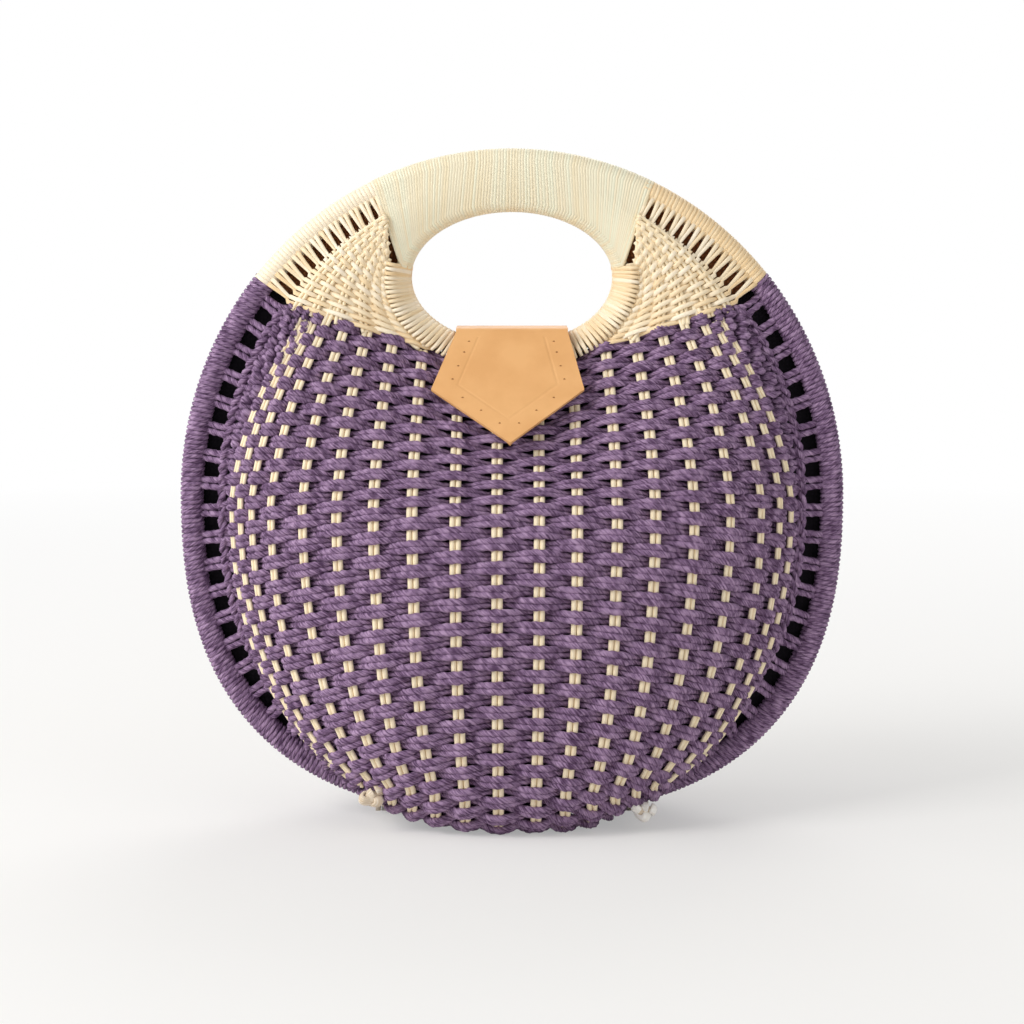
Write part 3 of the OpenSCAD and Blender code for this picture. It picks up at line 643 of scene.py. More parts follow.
def finish_of(name):
    """The finishes are made once, when the first piece asks for them."""
    if not FINISHES:
        tints = bpy.context.scene.circle_bag_colours
        FINISHES.update({
            "cord": paper_cord(tints),
            "rib": split_reed("round rib reed", "fbe6bd", tints.rib_reed, "fffaf0"),
            "shoulder": split_reed("fine shoulder reed", "eecb96", tints.shoulder_reed, "fff1d8"),
            "grip": split_reed("flat wound reed", "f0dfb8", tints.grip_reed, "eeebd0", 0.5, 40, 10),
            "tie": split_reed("coarse tie reed", "cbb08a", "fbf3e6", "fffdf8", 0.7),
            "leather": tanned_leather("smooth tan leather", tints.leather, "e3a96b", line=True),
            "leather_back": tanned_leather("suede leather back", "cf9a63", "b9824e", 0.85),
            # The cut edge is coloured pale as painted light, as if the light from the left falls on it
            "lit_leather_edge": tanned_leather("cut leather edge painted light", "ffcb93", "f2b175", 0.7),
            # Dark discs for the pricks: painted shade of the holes
            "pinhole_shade": tanned_leather("painted shade of prick holes", "a46a33", "8a5526", 0.8),
            # The lining is real, but its near-black colour is painted shade of the bag's inside, seen through the
            # gaps in the weave
            "cotton": cotton_cloth("cotton lining dark as painted shade", tints.lining, "17111a"),
            # The brown sheet behind the shoulders' slots is painted shade
            "shade_facing": cotton_cloth("brown sheet of painted shade", tints.shade_facing, "7a4520"),
            "nickel": nickel_plate(),
            "thread": waxed_thread("c98f52", "9c6732"),
        })
    return FINISHES[name]


# The pieces

def rim_arc_table(t_from, t_to):
    """Angles on the rim's middle line, and the length of the line up to each."""
    angles = np.linspace(t_from, t_to, 600)
    return angles, lengths_along(np.array([rim_xz(t) for t in angles]))


class CoursePlan:
    """Where each purple course runs, from the left rim to the right one. Levels count down from the ring."""

    def __init__(self, sizes):
        self.heights = np.linspace(MID_Z, LOW_Z, 1500)
        self.arc = lengths_along(np.array([wall_point(0, z) for z in self.heights]))
        self.upper = sizes.upper_courses
        self.lower = int(round(self.arc[-1] / sizes.course_pitch / 2)) * 2
        self.total = self.upper + self.lower
        self.angles, self.along = rim_arc_table(180 - SHOULDER_FROM, 270)

    def rim_angle(self, level):
        """The rim's angle on the left where a level ends, at even steps along the rim."""
        return float(np.interp(clamp01(level / self.total) * self.along[-1], self.along, self.angles))

    def centre_z(self, level):
        if level <= self.upper:
            return mix(boundary_z(0), MID_Z, level / self.upper)
        return float(np.interp((level - self.upper) / self.lower * self.arc[-1], self.arc, self.heights))

    def end(self, level):
        x, z = foot_xz(self.rim_angle(level))
        return abs(x), z

    def height(self, level, x, end):
        """The height of a level over x, between the middle line and its end on the foot line."""
        bend = min(1.0, abs(x) / max(end[0], 1.0)) ** 2.2
        if level >= self.upper:
            middle = self.centre_z(level)
            return middle + (end[1] - middle) * bend
        base, base_end = [top + (MID_Z - top) * level / self.upper for top in (boundary_z(x), boundary_z(end[0]))]
        return base + (end[1] - base_end) * bend


def course_cord(plan, sizes, number):
    """A cord's path over and under the ribs, and its thickness at each point. Two cords make a course."""
    level, course = (number + 0.5) / 2, number // 2
    end, next_end = plan.end(level), plan.end(level + 0.5)
    # A course ends just inside the foot line, and none is shorter than 8 mm
    reach = max(end[0] * 0.994, 4.0)
    turn = np.linspace(-1, 1, max(24, int(reach * 2 / sizes.cord_step * 1.25)))
    points, ups, waves = [], [], []
    # The points lie closer together towards the sides, where the wall is steep
    for q in np.sin(turn * math.pi / 2) * 0.55 + turn * 0.45:
        x = q * reach
        z = plan.height(level, x, end)
        normal, point = wall_normal(x, z), wall_point(x, z)
        ups.append(wall_point(x, plan.height(level + 0.5, x, next_end)) - point)
        wave = math.cos(math.pi * (rib_index(x, z) + course))
        fade = clamp01((1 - abs(q)) / 0.012)
        points.append(point - normal * (MID_DEPTH - sizes.swing * wave * fade))
        waves.append(wave)
    # A cord fills the room to its neighbour, square to its own run, and swells where it lies in front
    points, ups = np.array(points), np.array(ups)
    run = unit_rows(np.gradient(points, axis=0))
    ups -= run * np.sum(ups * run, axis=1)[:, None]
    room = np.clip(np.linalg.norm(ups, axis=1) * CORD_ROOM, CORD_R_MIN, CORD_R_MAX)
    return points, room * (CORD_FILL + CORD_SWELL * np.array(waves))


def web_leg(plan, number, flip, start):
    """A cord's way from the wall to the rim, in a web between two holes. Four cords, two by two, share a web.

    It goes from its start through a gate, where the web begins, and near the rim, and stops in the rim's reed.
    """
    aside = (0.5 - (number % 4) // 2) * 2 * WEB_ASIDE
    into = ((number % 2) - 0.5) * 2 * WEB_DEEP
    t = plan.rim_angle(min(number // 4 * 2 + 1, plan.total))
    t = t if flip > 0 else 180 - t
    centre, ahead = rim_xz(t, IN_RIM), rim_xz(t + 0.5 * flip, IN_RIM)
    along = unit(ahead - centre) * aside * -1
    foot = foot_xz(t)
    # Under the base there is no room for a web, and the cord turns in sooner
    low = clamp01((WEB_LOW_FROM - foot[1]) / WEB_LOW_FROM)
    inner = mix(rim_xz(t, -RIM_R - HOLE_END), foot, low) + along
    gate_y = mix(-REED_Y - WEB_GATE_Y, -FOOT_Y + WEB_LOW_IN, low) + into
    near_y = mix(-REED_Y - WEB_NEAR_Y, -REED_Y - WEB_NEAR_LOW_Y, low) + into
    gate = np.array([inner[0], gate_y, max(mix(inner[1], WEB_LOW_Z, low), WEB_LEAST_Z)])
    edge = rim_xz(t, -RIM_R - 1.0) + along
    near = np.array([edge[0], near_y, edge[1]])
    stop = np.array([centre[0] + along[0], -REED_Y + into * 0.6, centre[1] + along[1]])
    return smoothed([start, mix(start, gate, 0.6), gate, mix(gate, near, 0.33), mix(gate, near, 0.67), near, stop],
                    12)[1:]


def course_paths(plan, sizes, first, last):
    """The paths and thicknesses of the cords in courses first to last, from rim to rim."""
    paths, radii = [], []
    for number in range(first * 2, last * 2):
        points, thick = course_cord(plan, sizes, number)
        left, right = web_leg(plan, number, 1, points[0]), web_leg(plan, number, -1, points[-1])
        whole = np.concatenate([left[::-1], points, right])
        thickness = np.pad(thick, len(left), constant_values=WEB_CORD_R)
        # Nothing reaches under the table, with a cord's plies in mind
        whole[:, 2] = np.maximum(whole[:, 2], thickness * 1.12)
        paths.append(whole)
        radii.append(thickness)
    return paths, radii


def border_cords():
    """Two cords twined on the line where the rim's holes end, crossing once between two webs."""
    paths = []
    for left in (True, False):
        for strand in (0, 1):
            path = []
            for share in np.linspace(0, 1, 330):
                t = mix(BORDER_FROM, BORDER_TO, share)
                t = t if left else 180 - t
                inside = RIM_R + HOLE_END + BORDER_IN
                centre, out = rim_xz(t, -inside), rim_xz(t, 1 - inside)
                turn = share * BORDER_TURNS * math.pi + strand * math.pi
                p = centre + unit(out - centre) * BORDER_ACROSS * math.cos(turn)
                # Both cords sink by 1 mm where they end under the base
                sink = clamp01((share - 0.8) / 0.2)
                path.append((p[0], -REED_Y - BORDER_Y + BORDER_DEEP * math.sin(turn) + sink, p[1]))
            paths.append(np.array(path))
    return paths, [BORDER_R] * len(paths)


def ply_section(sides=8, swell=0.11):
    """Two plies: an outline with two lobes."""
    return [1 + swell * math.cos(4 * math.pi * k / sides) for k in range(sides)]


def length(name, words, default, least, most):
    """A length that the user may change, given in millimetres."""
    return FloatProperty(name=name, description=words, default=default * MM, min=least * MM, max=most * MM,
                         precision=4, subtype="DISTANCE", unit="LENGTH")


def tint(name, words, hex_colour):
    """A colour that the user may change, given as sRGB hex."""
    return FloatVectorProperty(name=name, description=words, default=linear(hex_colour), size=4, min=0, max=1,
                               subtype="COLOR")


class BagSizes(bpy.types.PropertyGroup):
    """Sizes of the cords and reeds that a user would change"""
    course_pitch: length("Course pitch", "Distance between two courses", 5.2, 4.0, 7.0)
    upper_courses: IntProperty(name="Upper courses", description="Courses between the hand ring and mid height",
                               default=18, min=12, max=24)
    cord_step: length("Cord step", "Length of one segment of a cord", 1.7, 1.0, 3.0)
    swing: length("Swing", "How far a cord swings before and behind a rib", 2.5, 1.5, 3.0)
    ply_pitch: length("Ply pitch", "Length of one turn of a cord's two plies", 9.0, 4.0, 20.0)
    rib_radius: length("Rib radius", "Radius of a round rib reed", 1.25, 0.9, 2.0)
    rim_cord: length("Rim cord", "Thickness of the cord wound round the rim", 2.1, 1.2, 3.0)
    shoulder_bunches: IntProperty(name="Shoulder bunches", description="Bunches of reed between the shoulder's slots",
                                  default=12, min=8, max=16)
    grip_pitch: length("Grip pitch", "Width of one turn of the grip's flat reed", 1.3, 0.8, 3.0)


class BagColours(bpy.types.PropertyGroup):
    """Colours of cord, reed, leather and cloth that a user would change"""
    cord: tint("Cord", "Main colour of the dyed paper cord", "876a8c")
    # The cord's dark and light colours are painted shade in its creases and painted highlight on its ridges
    cord_painted_shade: tint("Cord, dark", "The cord's colour in its creases", "503355")
    cord_painted_highlight: tint("Cord, light", "The cord's colour on its worn ridges", "b294b5")
    rib_reed: tint("Rib reed", "Colour of the rib reeds, seen as dots", "fff1d6")
    shoulder_reed: tint("Shoulder reed", "Colour of the reed of ring and shoulders", "fae5c0")
    grip_reed: tint("Grip reed", "Colour of the flat reed of the grip", "f1e6c8")
    leather: tint("Leather", "Colour of the tab's face", "ebb375")
    # The lining's near-black colour is painted shade of the bag's inside
    lining: tint("Lining", "Colour of the cotton lining", "221a25")
    # The brown behind the shoulders' slots is painted shade
    shade_facing: tint("Facing", "Colour of the cotton behind the shoulders", "a2673a")


def in_millimetres(sizes):
    """The sizes as plain numbers in millimetres, with the counts as they are."""
    values = {name: getattr(sizes, name) for name in BagSizes.__annotations__}
    return SimpleNamespace(**{name: v / MM if isinstance(v, float) else v for name, v in values.items()})


class BagPiece:
    """What the pieces' operators share."""
    bl_options = {"REGISTER", "UNDO"}


class BAG_OT_courses(BagPiece, bpy.types.Operator):
    """Weaves the purple courses of both halves"""
    bl_idname = "circle_bag.courses"
    bl_label = "Purple courses"

    def execute(self, context):
        sizes = in_millimetres(context.scene.circle_bag)
        plan = CoursePlan(sizes)
        bands = [("upper", 0, plan.upper), ("middle", plan.upper, plan.upper + plan.lower // 2),
                 ("lower", plan.upper + plan.lower // 2, plan.total)]
        for name, first, last in bands:
            paths, radii = course_paths(plan, sizes, first, last)
            mesh = swept_cords("courses", paths, radii, ply_section(), sizes.ply_pitch)
            both_halves(f"{name}_courses", mesh, finish_of("cord"), "purple_cord", "weave")
        paths, radii = border_cords()
        mesh = swept_cords("border", paths, radii, ply_section(), sizes.ply_pitch)
        both_halves("border_cords", mesh, finish_of("cord"), "purple_cord")
        return {"FINISHED"}


def rib_ends(place, outer):
    """The heights of a rib's ends. The outer ribs stop sooner at both."""
    aside = (abs(rib_x(place, RIB_SPLAY_Z)) / FOOT_HALF_W) ** FOOT_POWER
    low = WAIST_Z - FOOT_DOWN * max(0.0, RIB_REACH - OUTER_SHORTER * outer - aside) ** (1 / FOOT_POWER)
    top_x = abs(rib_x(place, RIB_TOP_Z))
    past = RIB_OVER_EDGE if top_x > RIB_TOP_X else -RIB_UNDER_EDGE
    lower = RIB_LOWER * clamp01((abs(place) - RIB_LOWER_FROM) / (RIB_LOWER_TO - RIB_LOWER_FROM))
    return low, boundary_z(top_x) + past - lower


class BAG_OT_ribs(BagPiece, bpy.types.Operator):
    """Lays the pairs of rib reeds that the courses are woven on"""
    bl_idname = "circle_bag.ribs"
    bl_label = "Rib reeds"

    def execute(self, context):
        sizes = in_millimetres(context.scene.circle_bag)
        paths, radii = [], []
        for place in ALL_RIBS:
            outer = clamp01((abs(place) - OUTER_FROM) / (OUTER_TO - OUTER_FROM))
            low, high = rib_ends(place, outer)
            radius = sizes.rib_radius * (1 - OUTER_THIN * outer)
            sunk = MID_DEPTH - RIB_FORWARD - OUTER_DEEPER * outer
            for flip in (-1, 1):
                path = []
                for z in mix(low, high, np.linspace(0, 1, 70) ** 1.3):
                    x = rib_x(place, z)
                    normal = wall_normal(x, z)
                    ahead = wall_point(rib_x(place, z + 1), z + 1) - wall_point(rib_x(place, z - 1), z - 1)
                    side = unit(np.cross(ahead, normal))
                    path.append(wall_point(x, z) - normal * sunk + side * flip * radius)
                paths.append(np.array(path))
                radii.append(radius)
        mesh = swept_cords("rib_reeds", paths, radii, [1.0] * 8)
        both_halves("rib_reeds", mesh, finish_of("rib"), "reed", "ribs")
        return {"FINISHED"}


def coil_path(centre, turns, r_plane, r_depth, per_turn):
    """A winding round a bent reed: centre(share, off) gives its middle line, moved outwards by off."""
    path, outward = [], []
    for i in range(int(turns * per_turn) + 1):
        a = 2 * math.pi * i / per_turn
        share = i / (turns * per_turn)
        p, q = centre(share, r_plane * math.cos(a)), centre(share, r_plane * math.cos(a) + 1)
        path.append((p[0], -REED_Y + r_depth * math.sin(a), p[1]))
        d = unit(q - p)
        outward.append((d[0] * math.cos(a), math.sin(a), d[1] * math.cos(a)))
    return np.array(path), np.array(outward)


def along_rim(t_from, t_to):
    """The rim's middle line by share of its length."""
    angles, along = rim_arc_table(t_from, t_to)
    return lambda share, off: rim_xz(float(np.interp(share * along[-1], along, angles)), off), along[-1]


class BAG_OT_rim(BagPiece, bpy.types.Operator):
    """Winds the purple cord round the rim, and natural reed round its shoulders"""
    bl_idname = "circle_bag.rim"
    bl_label = "Rim windings"

    def execute(self, context):
        sizes = in_millimetres(context.scene.circle_bag)
        centre, run = along_rim(180 - SHOULDER_FROM, 360 + SHOULDER_FROM)
        path, _ = coil_path(centre, int(run / sizes.rim_cord), *RIM_COIL)
        mesh = swept_cords("rim_cord", [path], [sizes.rim_cord * 0.6], [1.0, 0.9] * 3, 3.1)
        both_halves("rim_cord", mesh, finish_of("cord"), "purple_cord", "rim_wrap")
        strips = []
        for t_from, t_to in ((SHOULDER_FROM, GRIP_FROM + 1), (180 - GRIP_FROM - 1, 180 - SHOULDER_FROM)):
            centre, run = along_rim(t_from, t_to)
            strips.append(coil_path(centre, sizes.shoulder_bunches * 3, *SHOULDER_COIL))
        mesh = reed_strips("shoulder_windings", strips, flat_section(*WOUND_REED))
        both_halves("shoulder_windings", mesh, finish_of("shoulder"), "reed", "shoulder_rim_wraps")
        return {"FINISHED"}


def shoulder_strand(sizes, number, count):
    """One reed from the ring across the shoulder's ribs to the rim, gathered there with its bunch."""
    bunches = sizes.shoulder_bunches
    # The reeds go a little past both ends of the shoulder
    v, bunch_v = [mix(-0.012, 1.02, share) for share in ((number + 0.5) / count,
                                                         (math.floor(number / count * bunches) + 0.5) / bunches)]
    (t, r), (t_bunch, _) = shoulder_angles(v), shoulder_angles(bunch_v)
    start = ring_xz(r, 0.5)
    points, outward = [(start[0], -REED_Y - RING_R + 0.6, start[1])], [(0, -1, 0)]
    for w in np.linspace(0.0, 1.0, 34):
        x, z = shoulder_place(v, w)
        index = float(np.interp(w, [0] + SHOULDER_RIBS + [1], range(-1, len(SHOULDER_RIBS) + 1)))
        wave = math.cos(math.pi * (index + number)) * clamp01(w / 0.08) * clamp01((1 - w) / 0.05)
        normal = wall_normal(x, z)
        points.append(tuple(wall_point(x, z) - normal * (SHOULDER_RIB_DEPTH - SHOULDER_SWING * wave)))
        outward.append(tuple(normal))
    # Across the slots to the rim
    for share, pull in SLOT_STEPS:
        inner = rim_xz(mix(t, t_bunch, pull), mix(SLOT_FROM, IN_RIM, share))
        points.append((inner[0], mix(-FOOT_Y + SLOT_IN, -REED_Y - SLOT_Y, share), inner[1]))
        outward.append((0, -1, 0))
    return np.array(points), np.array(outward)


class BAG_OT_shoulders(BagPiece, bpy.types.Operator):
    """Weaves the natural reed of the four shoulders"""
    bl_idname = "circle_bag.shoulders"
    bl_label = "Shoulder weave"

    def execute(self, context):
        sizes = in_millimetres(context.scene.circle_bag)
        count = sizes.shoulder_bunches * 2
        strands = [shoulder_strand(sizes, n, count) for n in range(count)]
        widths = [[1.0] * 35 + [0.74, 0.8, 0.92, 1.0]] * count
        ribs = []
        for w in SHOULDER_RIBS:
            for flip in (-1, 1):
                path = []
                for v in np.linspace(-0.05, 1.02, 40):
                    x, z = shoulder_place(v, w)
                    x2, z2 = shoulder_place(v + 0.01, w)
                    normal = wall_normal(x, z)
                    side = unit(np.cross(wall_point(x2, z2) - wall_point(x, z), normal))
                    path.append(wall_point(x, z) - normal * SHOULDER_RIB_DEPTH + side * flip * SHOULDER_RIB_R)
                ribs.append(np.array(path))
        for name, flip in (("right", 1), ("left", -1)):
            strips = [(points * (flip, 1, 1), outward * (flip, 1, 1)) for points, outward in strands]
            mesh = reed_strips("shoulder_reeds", strips, flat_section(*SHOULDER_REED), None, widths)
            both_halves(f"shoulder_reeds_{name}", mesh, finish_of("shoulder"), "reed", f"shoulder_weave_{name}")
            mesh = swept_cords("shoulder_ribs", [path * (flip, 1, 1) for path in ribs],
                               [SHOULDER_RIB_R] * len(ribs), ROUND)
            both_halves(f"shoulder_ribs_{name}", mesh, finish_of("rib"), "reed")
        return {"FINISHED"}


class BAG_OT_ring(BagPiece, bpy.types.Operator):
    """Winds reed round the lower part of the hand ring, out over the first courses"""
    bl_idname = "circle_bag.ring"
    bl_label = "Ring windings"

    def execute(self, context):
        turns = 66
        path, outward, tones, widths = [], [], [], []
        start, stop = 180 - RING_GRIP_FROM - 1, 360 + RING_GRIP_FROM + 1
        # One winding: how far each point lies outside the ring's middle line, its depth by the ring's radius,
        # and how much the reed's face looks outwards. It goes out over the wall's edge and back behind it.
        loop = [(6.4, -1.0, 0.4), (4.8, -1.35, 0.1), (2.5, -1.25, 0), (0, -1.08, 0), (-2.6, -0.85, -0.5),
                (-4.3, 0, -1), (-2.6, 0.85, -0.5), (0, 1.08, 0), (2.5, 0.8, 0), (4.8, 0.2, 0), (6.4, -0.3, 1)]
        for turn in range(turns):
            for k, (off, lift, lean) in enumerate(loop):
                t = mix(start, stop, (turn + k / len(loop)) / turns)
                p, q = ring_xz(t, off), ring_xz(t, off + 1)
                y = -REED_Y + lift * RING_R
                if off > 2 and lift < 0:
                    y = min(y, -depth(p[0], p[1]) - 0.35)
                if off >= 6:
                    y = -depth(p[0], p[1]) + (0.6 if lift < -0.5 else 3.2)
                path.append((p[0], y, p[1]))
                tones.append(tone_of(turn))
                # The reed crowds round the hole and is pulled narrow over the wall's edge
                widths.append(mix(1.15, 0.72, clamp01((off + 1) / 7)))
                d = unit(q - p)
                side = -1 if lift < 0 else 1
                outward.append((d[0] * lean, side * (1 - abs(lean)) if abs(lean) < 1 else 0, d[1] * lean))
        mesh = reed_strips("ring_windings", [(path, unit_rows(np.array(outward)))], flat_section(*RING_REED),
                           [np.array(tones)], [widths])
        both_halves("ring_windings", mesh, finish_of("shoulder"), "reed", "ring_wrap")
        return {"FINISHED"}


class BAG_OT_grip(BagPiece, bpy.types.Operator):
    """Winds the flat reed of the grip over rim and ring"""
    bl_idname = "circle_bag.grip"
    bl_label = "Grip"

    def execute(self, context):
        sizes = in_millimetres(context.scene.circle_bag)
        turns = int(GRIP_RUN / sizes.grip_pitch)
        # One winding: over the rim, down the front, under the ring and up the back, by angle or by share of the way
        stations = [("rim", a) for a in np.linspace(90, -90, 9)] + [("front", w) for w in (0.2, 0.4, 0.6, 0.8)]
        stations += [("ring", a) for a in np.linspace(-90, -270, 8)] + [("back", w) for w in (0.8, 0.6, 0.4, 0.2)]
        path, outward, tones = [], [], []
        for turn in range(turns):
            for k, (kind, value) in enumerate(stations):
                s = (turn + k / len(stations)) / turns
                rim_t, ring_t = mix(GRIP_FROM, 180 - GRIP_FROM, s), mix(RING_GRIP_FROM, 180 - RING_GRIP_FROM, s)
                if kind in ("rim", "ring"):
                    place, t, r = (rim_xz, rim_t, GRIP_RIM_R) if kind == "rim" else (ring_xz, ring_t, GRIP_RING_R)
                    c, sn = cos_sin(value)
                    p, q = place(t, r * c), place(t, r * c + 1)
                    d = unit(q - p)
                    path.append((p[0], -REED_Y + (r + GRIP_DEEPER) * sn, p[1]))
                    outward.append((d[0] * c, sn, d[1] * c))
                else:
                    side = -1 if kind == "front" else 1
                    p = mix(rim_xz(rim_t), ring_xz(ring_t), value)
                    r = mix(*GRIP_FACES, value) + GRIP_CROWN * math.sin(math.pi * value)
                    path.append((p[0], -REED_Y + side * r, p[1]))
                    outward.append((0, side, 0))
                tones.append(tone_of(turn))
        mesh = reed_strips("grip_reed", [(path, outward)],
                           flat_section(sizes.grip_pitch * GRIP_REED_WIDE, GRIP_REED_T), [np.array(tones)])
        both_halves("grip_reed", mesh, finish_of("grip"), "grip_reed", "grip_wrap")
        return {"FINISHED"}


def rim_z(x):
    """The height of the rim's middle line under the bag."""
    return WAIST_Z - RIM_DOWN * (1 - (abs(x) / RIM_HALF_W) ** LOWER_POWER) ** (1 / LOWER_POWER)


def tie_loop(x, side):
    """One lobe of the figure-eight lashing: round the rim, and down to the line that the halves turn about."""
    centre = np.array([side * REED_Y, rim_z(x)])
    axis = np.array([0.0, TIE_AXIS_Z])
    r = RIM_R + TIE_GAP + TIE_T / 2
    away = centre - axis
    lean = math.atan2(away[0], away[1])
    points, outward = [(x, axis[0], axis[1])], [(0, -math.copysign(1, side), 0)]
    # The reed lies against the rim for 250 degrees
    for a in np.linspace(-125, 125, 22):
        turn = lean + math.radians(a)
        d = np.array([math.sin(turn), math.cos(turn)])
        p = centre + d * r
        points.append((x, p[0], p[1]))
        outward.append((0, d[0], d[1]))
    points.append((x, axis[0], axis[1]))
    outward.append((0, math.copysign(1, side), 0))
    return np.array(points), np.array(outward)


def knot_path(middle, lean):
    """An overhand knot of flat reed, drawn tight: its line is a trefoil, and its face looks outwards."""
    points = []
    for turn in np.linspace(math.radians(95), math.radians(445), 64):
        across = KNOT_ACROSS * (math.sin(turn) + 2 * math.sin(2 * turn))
        up = KNOT_UP * (math.cos(turn) - 2 * math.cos(2 * turn))
        points.append((across, KNOT_DEEP * math.sin(3 * turn), up))
    points = np.array(points)
    outward = unit_rows(points * (0.5, 1.0, 0.5) + (0, -1.6, 0))
    c, sn = cos_sin(lean)
    spin = np.array([[c, 0, sn], [0, 1, 0], [-sn, 0, c]])
    return points @ spin.T + middle, outward @ spin.T


class BAG_OT_ties(BagPiece, bpy.types.Operator):
    """Lashes the halves together with reed at the bottom, each tie with its knot"""
    bl_idname = "circle_bag.ties"
    bl_label = "Reed ties"

    def execute(self, context):
        pitch = TIE_W + TIE_SPACE
        for half, side, turns in (("front", -1, (-1, 1)), ("back", 1, (-2, 0, 2))):
            strips = []
            for flip in (-1, 1):
                for k in turns:
                    strips.append(tie_loop(flip * (TIE_X + k * pitch), side))
            mesh = reed_strips("tie_turns", strips, flat_section(TIE_W, TIE_T))
            piece = mesh_piece(f"{half}_tie_reeds", mesh, finish_of("tie"), f"{half}_shell")
            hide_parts(f"{half}_tie_turns")
        bm = bmesh.new()
        strips, tails = [], []
        for flip, middle, lean in KNOTS:
            middle = np.array(middle, float)
            strips.append(knot_path(middle, lean))
            tail = np.array([(flip * TIE_X, -13.0, 7.0), (flip * (TIE_X + 1), -20, 9.5),
                             (flip * (TIE_X + 2), -28, 12.0), middle])
            tails += [smoothed(tail + (aside, 0, 0), 16) for aside in (-TAIL_ASIDE, TAIL_ASIDE)]
        bm.from_mesh(reed_strips("knots", strips, KNOT_SECTION))
        bm.from_mesh(swept_cords("tails", tails, [TAIL_R] * len(tails), ROUND))
        for path, _ in strips:
            # The knot's heart, so that no gap shows between its turns
            made = bmesh.ops.create_icosphere(bm, subdivisions=2, radius=MM)
            bmesh.ops.scale(bm, vec=KNOT_HEART, verts=made["verts"])
            bmesh.ops.translate(bm, vec=Vector(path.mean(axis=0)) * MM, verts=made["verts"])
        mesh = finished(bm, "knots")
        piece = mesh_piece("reed_knots", mesh, finish_of("tie"), "front_shell")
        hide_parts("tie_knots")
        return {"FINISHED"}


def slope_axes(slope, side):
    """The directions down a slope and out of its face, in depth and height. Side is -1 in front and 1 behind."""
    return np.array([side * math.sin(slope), -math.cos(slope)]), np.array([side * math.cos(slope), math.sin(slope)])


def tab_line(over):
    """The tab's line in section, from the leaf's tip over the rings to the anchor's end.

    Over is the height above the leather's inner face. Each entry is (length along the leaf, y, z).
    """
    down, face = slope_axes(LEAF_SLOPE, -1)
    fold = np.array([-FOLD_Y, BRIDGE_Z - FOLD_R])
    line = []
    for along in list(np.linspace(TAB_LEN, TAB_CORNER_LEN, 15)) + list(np.linspace(TAB_CORNER_LEN, 0, 15))[1:]:
        line.append((along, *(fold + face * (FOLD_R + over) + down * along)))
    turn_to = math.pi / 2 - LEAF_SLOPE
    for a in np.linspace(turn_to, 0, 8)[1:]:
        line.append(((a - turn_to) * 2, *(fold + np.array([-math.sin(a), math.cos(a)]) * (FOLD_R + over))))
    bend = np.array([BEND_Y, BEND_Z])
    r = over - (FACE_T + BACK_T) / 2
    turn_to = math.pi / 2 - ANCHOR_SLOPE
    # On the inner side of the bend the two straight parts meet in a corner
    corner = max(0.0, -r) * math.tan(turn_to / 2)
    for y in np.linspace(-FOLD_Y, BEND_Y - corner, 12)[1:]:
        line.append((-3 - (y + FOLD_Y), y, BRIDGE_Z + over))
    for a in np.linspace(0, turn_to, 8)[1:]:
        p = bend + np.array([math.sin(a), math.cos(a)]) * r if r > 0 else bend + (-corner, r)
        line.append((-30 - a, *p))
    down, face = slope_axes(ANCHOR_SLOPE, 1)
    for along in np.linspace(corner, ANCHOR_LEN, 14)[1:]:
        line.append((-32 - along, *(bend + face * r + down * along)))
    return line


def tab_half_width(along):
    """Half the tab's width at a length along the leaf: a pentagon, and a strip behind the fold."""
    if along >= TAB_CORNER_LEN:
        return TAB_CORNER_W / 2 * (TAB_LEN - along) / (TAB_LEN - TAB_CORNER_LEN)
    return mix(TAB_W / 2, TAB_CORNER_W / 2, clamp01(along / TAB_CORNER_LEN))


def tab_skew(along):
    """The hand-cut leaf leans a little to the left, most at its corners."""
    return float(np.interp(along, [0, TAB_CORNER_LEN, TAB_LEN], [0, -1.9, -0.8]))


def leather_layer(name, low, high, inset):
    """A layer of the tab's leather between two heights over its inner face, and inset from the tab's edge."""
    inner, outer = tab_line(low), tab_line(high)
    bm = bmesh.new()
    flat = bm.verts.layers.float_vector.new("flat")
    bmesh.ops.create_grid(bm, x_segments=14, y_segments=len(outer) - 1, size=0.5)

    def lay(vert, line):
        x, along, row = vert[flat]
        _, y, z = line[int(round(row))]
        vert.co = Vector((x + tab_skew(along), y, z)) * MM

    for vert in bm.verts:
        row = round((vert.co.y + 0.5) * (len(outer) - 1))
        along = outer[row][0]
        vert[flat] = Vector((vert.co.x * 2 * max(0.0, tab_half_width(along) - inset), along, row))
        lay(vert, outer)
    bmesh.ops.remove_doubles(bm, verts=bm.verts, dist=1e-6)
    made = bmesh.ops.extrude_face_region(bm, geom=bm.faces[:], use_keep_orig=True)
    for vert in made["geom"]:
        if isinstance(vert, bmesh.types.BMVert):
            lay(vert, inner)
    bmesh.ops.recalc_face_normals(bm, faces=bm.faces)
    for leather in bm.faces:
        # Only a cut edge looks sideways, because the leather bends about an axis along X
        leather.material_index = 1 if abs(leather.normal.x) > 0.3 else 0
        leather.smooth = leather.material_index == 0
    return finished(bm, name)


def leaf_frame(along, lift, x=0.0):
    """A place over the leaf: along it from the fold, lifted off its inner face."""
    down, face = slope_axes(LEAF_SLOPE, -1)
    p = np.array([-FOLD_Y, BRIDGE_Z - FOLD_R]) + face * (FOLD_R + lift) + down * along
    return Vector((x, p[0], p[1])) * MM


def disc(bm, radius, thickness, sides, tilt, place):
    """A round disc, tilted about X and moved to its place."""
    made = bmesh.ops.create_cone(bm, cap_ends=True, segments=sides, radius1=radius * MM, radius2=radius * MM,
                                 depth=thickness * MM)
    bmesh.ops.rotate(bm, verts=made["verts"], matrix=Matrix.Rotation(tilt, 3, "X"))
    bmesh.ops.translate(bm, vec=place, verts=made["verts"])


